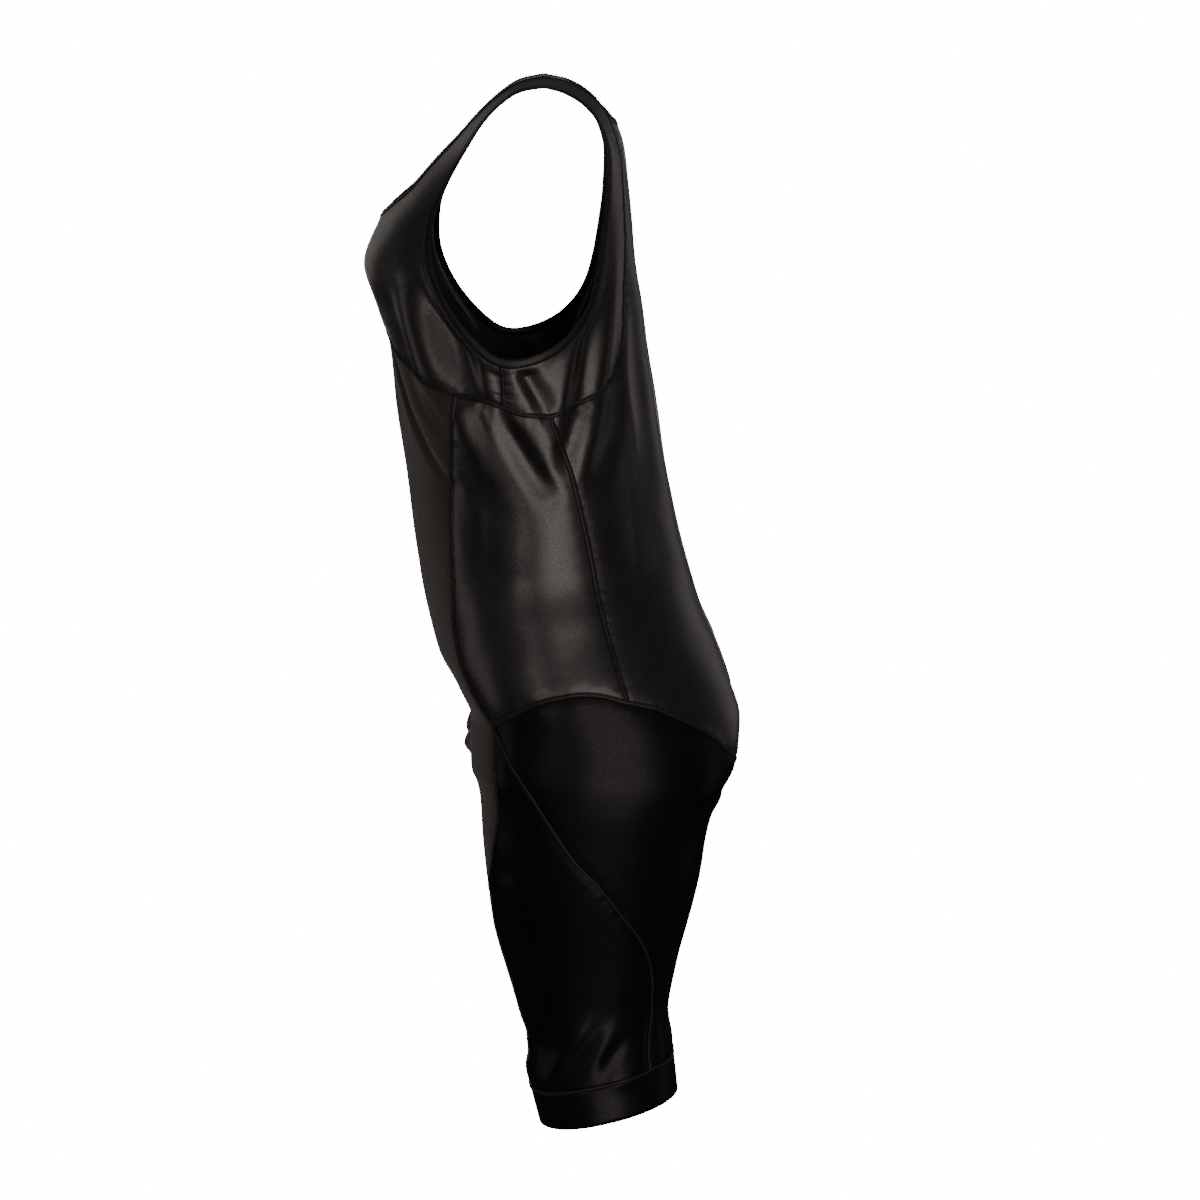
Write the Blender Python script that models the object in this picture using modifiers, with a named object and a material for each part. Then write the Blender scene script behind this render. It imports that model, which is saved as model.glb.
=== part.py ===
"""Sleeveless one-piece skinsuit with thigh-length legs, worn shape, empty.

The cloth lies on one smooth figure, given by a table of level sections. Each
cut piece is drawn in a flat map of that figure between its seam lines, filled
with triangles, laid on the figure, creased by a table of folds and then given
a wall. Metres, +Z up, front towards -Y, the wearer's left towards +X. The
origin is the middle of the shoulder line.
"""
import math

import bpy
import numpy as np
from mathutils import Vector
from mathutils.geometry import delaunay_2d_cdt

MM = 0.001

# Driving dimensions
WALL = 1.4 * MM
BINDING_WALL = 2.2 * MM
SEAM_GAP = 0.3 * MM
BINDING_WIDTH = 7 * MM
BAND_DEPTH = 33 * MM
HEM_FRONT_Z = -873 * MM
HEM_FRONT_Y = -5 * MM
HEM_SLOPE = 0.23
CROTCH_Z = -567 * MM
CROTCH_SEAM_END_Z = -577 * MM
STRAP_NECK_X = 62 * MM
SHOULDER_SLOPE = 0.2
SHOULDER_FADE = (-140 * MM, -60 * MM)
EDGE_STEP = 15 * MM
FILL_STEP = 16.5 * MM
FINE_FILL_STEP = 15.5 * MM
BROAD_FILL_STEP = 18 * MM
CHEST_TOP_Z = -200 * MM
FRONT_TURNS = -150
BACK_TURNS = -30
BACK_RADIUS = 125 * MM
FRONT_RADIUS = 105 * MM
SIDE_RADIUS = 135 * MM
LEG_RADIUS = 82 * MM
ARM_RADIUS = 150 * MM
ARMHOLE_COUNT = 42
BACK_NECK_COUNT = 4
UNDERARM_COUNT = 3
BAND_FRONT_COUNT = 17
BAND_BACK_COUNT = 8
INSEAM_COUNTS = (10, 7)
NECK_SAMPLES = 60
CENTRE_SAMPLES = 160
YOKE_CENTRE_POINTS = 8
CURVE_STEPS = 12
FILL_CLEARANCE = 0.6
LONGEST_INSET = 1.2 * MM
STRAIGHT_TURN = 0.08
MIRROR_MERGE = 0.02 * MM
FIGURE_REACH = 450 * MM
HALVINGS = 44
HEM_PASSES = 8
FOLD_STEPS = 8
FOLD_END = 0.12
TINY = 1e-7
FIGURE_CENTRE = np.array([0.0, -25.0, -110.0]) * MM

# The figure, one row per level. Lobe, outer and inner are places across the
# half body: above the split the lobe is the centre plane, below it the leg's
# own middle. Front, back and middle are depths. The last three columns say
# how square the front, the back and the inner side are (2 is an ellipse).
FIGURE_COLUMNS = ("z", "lobe", "outer", "inner", "front", "back", "middle",
                  "square_front", "square_back", "square_inner")
FIGURE = (
    (6, 0, 155, -155, -3, 3, 0, 4.0, 2.2, 2.2),
    (3, 0, 155, -155, -19, 19, 0, 4.0, 2.2, 2.2),
    (-7, 0, 154, -154, -36, 38, 0, 3.9, 2.5, 2.3),
    (-21, 0, 152, -152, -52, 49, 0, 3.4, 2.9, 2.6),
    (-43, 0, 149, -149, -74, 60, 0, 2.7, 2.8, 2.5),
    (-64, 0, 142, -142, -97, 67, -5, 2.4, 2.6, 2.2),
    (-86, 0, 136, -136, -115, 70, -10, 2.4, 2.6, 2.1),
    (-112, 0, 135, -135, -136, 73, -15, 2.3, 2.5, 2.1),
    (-150, 0, 139, -139, -152, 77, -19, 2.2, 2.3, 2.2),
    (-186, 0, 142, -142, -141, 83, -22, 2.2, 2.2, 2.2),
    (-218, 0, 143, -143, -131, 87, -25, 2.2, 2.2, 2.2),
    (-265, 0, 139, -139, -126, 95, -22, 2.2, 2.2, 2.2),
    (-330, 0, 130, -130, -117, 106, -10, 2.2, 2.2, 2.2),
    (-395, 0, 134, -134, -109, 120, 0, 2.2, 2.2, 2.2),
    (-440, 0, 148, -148, -101, 133, 12, 2.2, 2.2, 2.2),
    (-474, 8, 159, -155, -92, 148, 26, 2.3, 2.3, 2.6),
    (-500, 28, 166, -146, -77, 157, 36, 2.4, 2.4, 3.4),
    (-530, 52, 171, -96, -63, 164, 44, 2.4, 2.4, 5.6),
    (-552, 68, 173, -52, -63, 162, 47, 2.4, 2.4, 7.5),
    (-567, 79, 174, 0, -62, 158, 48, 2.4, 2.4, 7.5),
    (-576, 84, 174, 4, -58, 155, 47, 2.4, 2.4, 4.2),
    (-592, 88, 172, 6, -55, 147, 46, 2.3, 2.3, 2.6),
    (-615, 89, 169, 9, -54, 137, 44, 2.2, 2.2, 2.3),
    (-660, 87, 161, 13, -50, 129, 42, 2.2, 2.2, 2.2),
    (-700, 85, 154, 17, -45, 120, 41, 2.2, 2.2, 2.2),
    (-740, 84, 148, 21, -34, 110, 40, 2.2, 2.2, 2.2),
    (-780, 84, 144, 25, -23, 103, 40, 2.2, 2.2, 2.2),
    (-800, 85, 144, 26, -17, 107, 43, 2.2, 2.2, 2.2),
    (-825, 87, 146, 28, -18, 109, 45, 2.2, 2.2, 2.2),
    (-850, 89, 148, 30, -12, 112, 49, 2.2, 2.2, 2.2),
    (-880, 90, 149, 31, -4, 114, 53, 2.2, 2.2, 2.2),
)

# Edge of the armhole from the underarm seam, forward, over the strap and back
ARMHOLE_COLUMNS = ("x", "y", "z")
ARMHOLE = (
    (143, -34, -218), (139, -55, -204), (128, -77, -175), (118, -90, -140),
    (108, -88, -104), (104, -76, -76), (103, -60, -48), (103, -42, -20),
    (104, -20, -6), (105, 1, -2), (105, 19, -7), (104, 39, -22),
    (104, 51, -47), (105, 52, -76), (108, 50, -107), (116, 43, -150),
    (127, 34, -180), (137, 15, -203), (143, -10, -216),
)

# Edge of the neck from the centre front over the strap to the centre back
NECK_COLUMNS = ("x", "y", "z")
NECK = (
    (0, -134, -107), (25, -132, -103), (45, -124, -92), (56, -112, -82),
    (61, -94, -64), (62, -73, -44), (62, -52, -22), (62, -36, -8),
    (62, -18, 2), (62, 0, 6), (62, 18, 3), (60, 34, -4), (52, 46, -14),
    (38, 53, -23), (20, 57, -29), (0, 58, -31),
)
NECK_TO_BACK_SEAM = 0.845

# Seams as they run, each in the view that shows it best: from the side as
# (y, z), from the front or the back as (x, z), round the leg as (turn, z)
UNDERBUST_FRONT = ((0, -205), (44, -213), (92, -232), (127, -249))
UNDERBUST_SIDE = ((-74, -249), (-58, -251), (-47, -254), (-34, -259))
UNDERARM_TO_SIDE_SEAM = ((-34, -259), (-20, -263), (4, -265))
SIDE_SEAM_TO_BACK = ((4, -265), (20, -260), (36, -252), (50, -243), (60, -233), (64, -219))
BACK_SEAM = ((47, -28), (60, -60), (66, -93), (69, -134), (79, -175), (94, -219))
UNDERARM_SEAM = ((-35, -225), (-34, -259))
PRINCESS_SEAM = ((-74, -249), (-76, -290), (-77, -337), (-76, -404), (-76, -450), (-64, -492), (-44, -523))
SIDE_SEAM = ((4, -265), (18, -306), (36, -383), (43, -416), (56, -460), (67, -497))
HIP_SEAM_SIDE = ((-44, -523), (-29, -511), (-8, -499), (20, -491), (44, -491), (67, -497))
HIP_SEAM_BACK = ((104, -497), (113, -503), (122, -513), (135, -527), (151, -546),
                 (172, -561), (200, -578), (230, -590), (252, -588), (270, -577))
THIGH_SEAM = ((-44, -523), (-31, -548), (-16, -571), (3, -600), (22, -629), (42, -651), (61, -677),
              (75, -697), (84, -716), (88, -737), (88, -765), (88, -817))
INSET_SEAM = ((44, -523), (41, -536), (36, -558), (32, -579), (27, -611), (17, -648), (4, -668),
              (-20, -690), (-52, -710), (-90, -726))

# Large folds: the view it is placed in, its two ends, half its width and its
# height above the figure (a trough is negative)
FOLD_COLUMNS = ("name", "view", "start", "end", "half_width", "height")
FOLDS = (
    ("bust_ridge", "side", (-108, -172), (-76, -244), 15, 2.5),
    ("bust_trough", "side", (-60, -212), (-37, -256), 13, -3.2),
    ("underarm_trough", "side", (-27, -228), (-4, -262), 11, -2.4),
    ("underarm_ridge", "side", (2, -222), (18, -256), 11, 1.6),
    ("back_arm_trough", "side", (30, -190), (22, -290), 11, -2.6),
    ("back_arm_trough_short", "side", (45, -192), (38, -248), 10, -2.0),
    ("side_ridge", "side", (-66, -258), (-26, -303), 14, 2.4),
    ("princess_trough", "side", (-72, -266), (-60, -318), 11, -2.2),
    ("side_trough", "side", (-26, -268), (2, -312), 12, -2.8),
    ("behind_side_seam_ridge", "side", (36, -268), (25, -305), 11, 1.8),
    ("inset_crease", "front", (42, -222), (106, -318), 12, -3.4),
    ("inset_crease_inner", "front", (20, -222), (62, -300), 12, -1.8),
    ("crotch_roll", "front", (0, -556), (44, -548), 13, 2.6),
    ("back_long_ridge", "back", (38, -80), (52, -330), 18, 1.8),
    ("back_long_trough", "back", (70, -150), (78, -330), 16, -2.0),
    ("small_of_back_trough", "back", (14, -250), (20, -420), 20, -1.8),
    ("seat_hollow", "back", (0, -470), (0, -552), 34, -6.0),
    ("seat_crease", "ring", (160, -576), (215, -588), 13, -2.6),
    ("thigh_crease", "side", (20, -585), (75, -592), 13, -1.0),
    ("inner_thigh_trough", "ring", (-80, -620), (-60, -690), 14, -1.8),
    ("cuff_ridge_front", "side", (-3, -832), (30, -786), 11, 2.6),
    ("cuff_trough_front", "side", (12, -834), (40, -790), 9, -2.0),
    ("cuff_ridge_back", "side", (35, -824), (52, -788), 10, 2.6),
    ("cuff_trough_back", "side", (72, -812), (76, -780), 11, -2.6),
    ("cuff_ridge_inside", "ring", (-60, -830), (-90, -786), 12, 2.2),
    ("cuff_ridge_behind", "ring", (200, -814), (230, -786), 12, 2.2),
    ("cuff_trough_inside", "ring", (-96, -828), (-112, -790), 11, -2.2),
)

# Finishes: base colour, roughness
FINISHES = {
    "coated_cloth": ((0.012, 0.011, 0.011), 0.38),
    "leg_cloth": ((0.009, 0.008, 0.008), 0.45),
    "matte_cloth": ((0.022, 0.016, 0.014), 0.75),
    "binding_cloth": ((0.010, 0.009, 0.009), 0.5),
}


def ease(low, high, value):
    """Go smoothly from 0 at low to 1 at high."""
    t = np.clip((value - low) / (high - low), 0.0, 1.0)
    return t * t * (3 - 2 * t)


def slopes_that_keep_order(heights, values):
    """Slopes of a cubic through table rows that never overshoots them."""
    steps = np.diff(heights)
    rises = np.diff(values) / steps
    slopes = np.zeros_like(values)
    for row in range(1, len(values) - 1):
        if rises[row - 1] * rises[row] > 0:
            weight_a = 2 * steps[row] + steps[row - 1]
            weight_b = steps[row] + 2 * steps[row - 1]
            slopes[row] = (weight_a + weight_b) / (weight_a / rises[row - 1] + weight_b / rises[row])
    slopes[0], slopes[-1] = rises[0], rises[-1]
    return slopes


class Figure:
    """The form that the cloth lies on: level sections, read at any height."""

    def __init__(self):
        rows = np.array(FIGURE[::-1], float)
        self.heights = rows[:, 0] * MM
        self.tracks = {}
        for column, name in enumerate(FIGURE_COLUMNS[1:], start=1):
            unit = 1.0 if name.startswith("square") else MM
            values = rows[:, column] * unit
            self.tracks[name] = (values, slopes_that_keep_order(self.heights, values))

    def at(self, name, z):
        """One column of the table at height z."""
        values, slopes = self.tracks[name]
        z = np.clip(z, self.heights[0], self.heights[-1])
        row = np.clip(np.searchsorted(self.heights, z) - 1, 0, len(self.heights) - 2)
        step = self.heights[row + 1] - self.heights[row]
        t = (z - self.heights[row]) / step
        rise = values[row + 1] - values[row]
        start, end = slopes[row] * step, slopes[row + 1] * step
        return values[row] + t * (start + t * ((3 * rise - 2 * start - end) + t * (start + end - 2 * rise)))

    def measure(self, points):
        """1 on the figure, less inside it and more outside."""
        x, y, z = points[..., 0], points[..., 1], points[..., 2]
        level = z + SHOULDER_SLOPE * (np.abs(x) - STRAP_NECK_X) * ease(*SHOULDER_FADE, z)
        lobe, middle = self.at("lobe", level), self.at("middle", level)
        across = np.where(x > lobe, self.at("outer", level) - lobe, lobe - self.at("inner", level))
        depth = np.where(y > middle, self.at("back", level) - middle, middle - self.at("front", level))
        power = np.where(y > middle, self.at("square_back", level), self.at("square_front", level))
        power = np.where(x < lobe, self.at("square_inner", level), power)
        u = np.abs(x - lobe) / across
        v = np.abs(y - middle) / depth
        above = np.maximum(level - self.heights[-1], 0) / MM
        return (u ** power + v ** power) ** (1 / power) + above

    def meet(self, start, direction):
        """Where lines from inside the figure come out of it."""
        start, direction = np.broadcast_arrays(np.asarray(start, float), np.asarray(direction, float))
        near = np.zeros(start.shape[:-1])
        far = np.full(start.shape[:-1], FIGURE_REACH)
        for _ in range(HALVINGS):
            half = (near + far) / 2
            outside = self.measure(start + half[..., None] * direction) > 1
            far = np.where(outside, half, far)
            near = np.where(outside, near, half)
        return start + near[..., None] * direction

    def normal(self, points):
        """Outward normals."""
        step = 0.5 * MM
        parts = []
        for axis in np.eye(3) * step:
            parts.append(self.measure(points + axis) - self.measure(points - axis))
        grown = np.stack(parts, -1)
        return grown / np.linalg.norm(grown, axis=-1, keepdims=True)

    def axis_point(self, z):
        """Middle of the half body at height z."""
        z = np.asarray(z, float)
        return np.stack([self.at("lobe", z), self.at("middle", z), z], -1)

    def side(self, table):
        """Points on the outer side from (y, z)."""
        y, z = np.array(table, float).T * MM
        start = np.stack([self.at("lobe", z), y, z], -1)
        return self.meet(start, (1.0, 0.0, 0.0))

    def facing(self, table, towards):
        """Points on the front (towards -1) or back (+1) from (x, z)."""
        x, z = np.array(table, float).T * MM
        start = np.stack([x, self.at("middle", z), z], -1)
        return self.meet(start, (0.0, towards, 0.0))

    def ring(self, table):
        """Points from (turn, z): 0 is the front, 90 the outer side, 180 the back."""
        turn, z = np.array(table, float).T
        angle = np.radians(turn)
        heading = np.stack([np.sin(angle), -np.cos(angle), np.zeros_like(angle)], -1)
        return self.meet(self.axis_point(z * MM), heading)

    def outward(self, table):
        """Points from (x, y, z), drawn out from the figure's centre."""
        heading = np.array(table, float) * MM - FIGURE_CENTRE
        return self.meet(FIGURE_CENTRE, heading / np.linalg.norm(heading, axis=1, keepdims=True))

    def place(self, view, table):
        """Points on the figure from a table in the named view."""
        if view == "side":
            return self.side(table)
        if view == "ring":
            return self.ring(table)
        return self.facing(table, -1.0 if view == "front" else 1.0)


FIGURE_FORM = Figure()


class RoundMap:
    """Flat map of a stretch of trunk or leg: turn times a mean radius, height."""

    def __init__(self, radius, first_turn):
        self.radius = radius
        self.first_turn = math.radians(first_turn)

    def flatten(self, points):
        offset = points - FIGURE_FORM.axis_point(points[:, 2])
        turn = np.arctan2(offset[:, 0], -offset[:, 1])
        turn = self.first_turn + (turn - self.first_turn) % (2 * math.pi)
        return np.stack([turn * self.radius, points[:, 2]], 1)

    def lay(self, flat):
        turn = flat[:, 0] / self.radius
        heading = np.stack([np.sin(turn), -np.cos(turn), np.zeros_like(turn)], -1)
        return FIGURE_FORM.meet(FIGURE_FORM.axis_point(flat[:, 1]), heading)


class ArmMap:
    """Flat map round the armhole: angle away from the arm's axis, in all directions."""

    def flatten(self, points):
        offset = points - FIGURE_CENTRE
        reach = np.linalg.norm(offset, axis=1)
        away = np.arccos(np.clip(offset[:, 0] / reach, -1, 1))
        sideways = np.hypot(offset[:, 1], offset[:, 2])
        return np.stack([offset[:, 1], offset[:, 2]], 1) / sideways[:, None] * (away * ARM_RADIUS)[:, None]

    def lay(self, flat):
        away = np.hypot(flat[:, 0], flat[:, 1]) / ARM_RADIUS
        sideways = flat / np.hypot(flat[:, 0], flat[:, 1])[:, None] * np.sin(away)[:, None]
        heading = np.stack([np.cos(away), sideways[:, 0], sideways[:, 1]], -1)
        return FIGURE_FORM.meet(FIGURE_CENTRE, heading)


def smooth_run(points, closed=False):
    """Many points on a smooth curve through a few."""
    points = np.asarray(points, float)
    if closed:
        padded = np.vstack([points[-1:], points, points[:2]])
    else:
        padded = np.vstack([2 * points[0] - points[1], points, 2 * points[-1] - points[-2]])
    run = []
    for a, b, c, d in zip(padded, padded[1:], padded[2:], padded[3:]):
        for t in np.linspace(0, 1, CURVE_STEPS, endpoint=False):
            run.append(0.5 * (2 * b + (c - a) * t + (2 * a - 5 * b + 4 * c - d) * t * t
                              + (3 * b - a - 3 * c + d) * t ** 3))
    run.append(padded[-2])
    return np.array(run)


def spaced(run, count=None, share=(0.0, 1.0)):
    """Even points along a curve, or along a share of its length."""
    lengths = np.concatenate([[0], np.cumsum(np.linalg.norm(np.diff(run, axis=0), axis=1))])
    start, end = lengths[-1] * share[0], lengths[-1] * share[1]
    if count is None:
        count = max(2, round((end - start) / EDGE_STEP))
    stations = np.linspace(start, end, count + 1)
    return np.stack([np.interp(stations, lengths, run[:, axis]) for axis in range(3)], 1)


def snap(points):
    """Put points near the figure on it, along the way from its middle."""
    points = np.array(points)
    high = points[:, 2] > CHEST_TOP_Z
    out = points.copy()
    if high.any():
        heading = points[high] - FIGURE_CENTRE
        out[high] = FIGURE_FORM.meet(FIGURE_CENTRE, heading / np.linalg.norm(heading, axis=1, keepdims=True))
    if (~high).any():
        start = FIGURE_FORM.axis_point(points[~high, 2])
        heading = points[~high] - start
        out[~high] = FIGURE_FORM.meet(start, heading / np.linalg.norm(heading, axis=1, keepdims=True))
    return out


def seam(view, table, count=None):
    """Evenly spaced points of a seam that is drawn in one view."""
    dense = FIGURE_FORM.place(view, smooth_run(table))
    line = spaced(dense, count)
    inner = snap(line[1:-1])
    return np.vstack([line[:1], inner, line[-1:]])


def centre_line(top_z, towards, count=None):
    """The figure's edge in the centre plane, from top_z down to the crotch."""
    drop = 1 - np.linspace(1, 0, CENTRE_SAMPLES) ** 2
    z = top_z + (CROTCH_Z + 0.01 * MM - top_z) * drop
    start = np.stack([np.zeros_like(z), FIGURE_FORM.at("middle", z), z], -1)
    run = FIGURE_FORM.meet(start, (0.0, towards, 0.0))
    run[-1] = (0.0, FIGURE_FORM.at("middle", CROTCH_Z), CROTCH_Z)
    return spaced(run, count)


def moved_inward(line, distance, closed=False, ends_on_centre=False):
    """A line moved over the figure, to its left when seen from outside."""
    if closed:
        tangent = np.roll(line, -1, axis=0) - np.roll(line, 1, axis=0)
    else:
        tangent = np.gradient(line, axis=0)
        if ends_on_centre:
            tangent[0, 1:] = 0
            tangent[-1, 1:] = 0
    sideways = np.cross(FIGURE_FORM.normal(line), tangent)
    sideways /= np.linalg.norm(sideways, axis=1, keepdims=True)
    if ends_on_centre:
        sideways[[0, -1], 0] = 0
    return snap(line + distance * sideways)


def hem_ring(turns, lift):
    """The leg's hem, or a line that lies a given height above it."""
    turns = np.asarray(turns, float)
    z = np.full(len(turns), HEM_FRONT_Z + lift)
    for _ in range(HEM_PASSES):
        line = FIGURE_FORM.ring(np.stack([turns, z / MM], 1))
        z = HEM_FRONT_Z + lift + HEM_SLOPE * (line[:, 1] - HEM_FRONT_Y)
    return line


def fold_height(points):
    """How far the folds lift or sink the cloth at each point."""
    height = np.zeros(len(points))
    for _name, view, start, end, half_width, rise in FOLDS:
        ends = np.array([start, end], float)
        table = ends[0] + np.linspace(0, 1, FOLD_STEPS + 1)[:, None] * (ends[1] - ends[0])
        spine = FIGURE_FORM.place(view, table)
        gaps = np.linalg.norm(points[:, None, :] - spine[None, :, :], axis=2)
        nearest = gaps.argmin(axis=1)
        along = nearest / FOLD_STEPS
        for step in (-1, 1):
            other = np.clip(nearest + step, 0, FOLD_STEPS)
            leg = spine[other] - spine[nearest]
            size = np.maximum((leg ** 2).sum(1), 1e-12)
            t = np.clip(((points - spine[nearest]) * leg).sum(1) / size, 0, 1)
            gap = np.linalg.norm(points - spine[nearest] - t[:, None] * leg, axis=1)
            closer = gap < gaps[np.arange(len(points)), nearest] - 1e-9
            along = np.where(closer, (nearest + t * step) / FOLD_STEPS, along)
            gaps[np.arange(len(points)), nearest] = np.minimum(gaps[np.arange(len(points)), nearest], gap)
        reach = gaps[np.arange(len(points)), nearest] / (half_width * MM)
        across = np.where(reach < 2, np.cos(np.clip(reach, 0, 2) * math.pi / 4) ** 2, 0)
        height += rise * MM * across * np.sin((FOLD_END + (1 - 2 * FOLD_END) * along) * math.pi)
    return height


def crease(points):
    """Points of the figure with the folds put in."""
    creased = points + fold_height(points)[:, None] * FIGURE_FORM.normal(points)
    on_centre = np.abs(points[:, 0]) < TINY
    creased[on_centre, 0] = 0.0
    return creased


def inset_loop(loop, insets):
    """Draw a closed loop in from its seams, leaving the centre plane alone."""
    normals = FIGURE_FORM.normal(loop)
    count = len(loop)
    moved = loop.copy()
    for index in range(count):
        normal = normals[index]
        before = loop[index] - loop[index - 1]
        after = loop[(index + 1) % count] - loop[index]
        before = before - normal * before.dot(normal)
        after = after - normal * after.dot(normal)
        before /= np.linalg.norm(before)
        after /= np.linalg.norm(after)
        left_before, left_after = np.cross(normal, before), np.cross(normal, after)
        gap_before, gap_after = insets[index - 1], insets[index]
        turn = left_before.dot(after)
        if abs(turn) < STRAIGHT_TURN:
            shift = left_before * max(gap_before, gap_after)
        else:
            along = (gap_after - gap_before * left_before.dot(left_after)) / before.dot(left_after)
            shift = gap_before * left_before + along * before
        size = np.linalg.norm(shift)
        if size > LONGEST_INSET:
            shift *= LONGEST_INSET / size
        if abs(loop[index, 0]) < TINY and min(gap_before, gap_after) == 0:
            shift[0] = 0
        moved[index] = loop[index] + shift
    return moved


def fill_points(outline, step):
    """Even points inside a flat outline, clear of its edge."""
    low, high = outline.min(0), outline.max(0)
    rows = []
    for number, v in enumerate(np.arange(low[1] + step / 2, high[1], step * math.sqrt(3) / 2)):
        offset = step / 2 if number % 2 else 0
        rows += [(u, v) for u in np.arange(low[0] + offset + step / 4, high[0], step)]
    points = np.array(rows)
    starts, ends = outline, np.roll(outline, -1, axis=0)
    inside = np.zeros(len(points), bool)
    clearance = np.full(len(points), np.inf)
    for a, b in zip(starts, ends):
        crosses = (a[1] > points[:, 1]) != (b[1] > points[:, 1])
        with np.errstate(divide="ignore", invalid="ignore"):
            at = a[0] + (points[:, 1] - a[1]) / (b[1] - a[1]) * (b[0] - a[0])
        inside ^= crosses & (points[:, 0] < at)
        t = np.clip(((points - a) @ (b - a)) / (b - a).dot(b - a), 0, 1)
        clearance = np.minimum(clearance, np.linalg.norm(points - a - t[:, None] * (b - a), axis=1))
    return points[inside & (clearance > FILL_CLEARANCE * step)]


def cloth_collection():
    """The collection that holds the garment."""
    group = bpy.data.collections.new("skinsuit")
    bpy.context.scene.collection.children.link(group)
    return group


def finish(name):
    """A Principled material from the table of finishes."""
    material = bpy.data.materials.get(name)
    if material is None:
        colour, roughness = FINISHES[name]
        material = bpy.data.materials.new(name)
        material.use_nodes = True
        shader = material.node_tree.nodes["Principled BSDF"]
        shader.inputs["Base Color"].default_value = (*colour, 1)
        shader.inputs["Roughness"].default_value = roughness
        shader.inputs["Metallic"].default_value = 0.0
        material.diffuse_color = (*colour, 1)
    return material


def add_cloth(group, name, points, faces, cloth, wall=WALL, side=1, mirrored=False):
    """Make one cut piece from the points and faces of its open surface."""
    points = points * np.array([side, 1, 1])
    if side < 0:
        faces = [face[::-1] for face in faces]
    mesh = bpy.data.meshes.new(name)
    mesh.from_pydata([Vector(point) for point in points], [], faces)
    mesh.update()
    mesh.materials.append(finish(cloth))
    piece = bpy.data.objects.new(name, mesh)
    group.objects.link(piece)
    if mirrored:
        mirror = piece.modifiers.new("other half", "MIRROR")
        mirror.use_axis = (True, False, False)
        mirror.use_clip = True
        mirror.merge_threshold = MIRROR_MERGE
    solid = piece.modifiers.new("wall", "SOLIDIFY")
    solid.thickness = wall
    solid.offset = 0
    solid.use_even_offset = False
    mesh.shade_smooth()
    return piece


def cut_piece(flat_map, sides, step):
    """Fill the loop between some seams: its points on the figure and its faces."""
    loop, insets = [], []
    for line, on_centre in sides:
        loop += list(line[:-1])
        insets += [0.0 if on_centre else SEAM_GAP / 2] * (len(line) - 1)
    loop, insets = np.array(loop), np.array(insets)
    flat = flat_map.flatten(loop)
    after = np.roll(flat, -1, axis=0)
    if (flat[:, 0] * after[:, 1] - after[:, 0] * flat[:, 1]).sum() < 0:
        loop = np.vstack([loop[:1], loop[:0:-1]])
        insets = insets[::-1]
    loop = inset_loop(loop, insets)
    outline = flat_map.flatten(loop)
    inner = fill_points(outline, step)
    flat_all = np.vstack([outline, inner])
    scaled = [Vector((u / MM, v / MM)) for u, v in flat_all]
    result = delaunay_2d_cdt(scaled, [], [list(range(len(outline)))], 1, 1e-6)
    order = [origins[0] for origins in result[3]]
    points = np.vstack([loop, flat_map.lay(inner)])
    faces = [[order[corner] for corner in face] for face in result[2]]
    return crease(points), faces


def strip(lines, closed):
    """Quads between lines that run side by side, the first one on the right."""
    count = len(lines[0])
    points = np.vstack(lines)
    faces = []
    for row in range(len(lines) - 1):
        for index in range(count if closed else count - 1):
            following = (index + 1) % count
            faces.append([row * count + index, row * count + following,
                          (row + 1) * count + following, (row + 1) * count + index])
    return crease(points), faces


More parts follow.
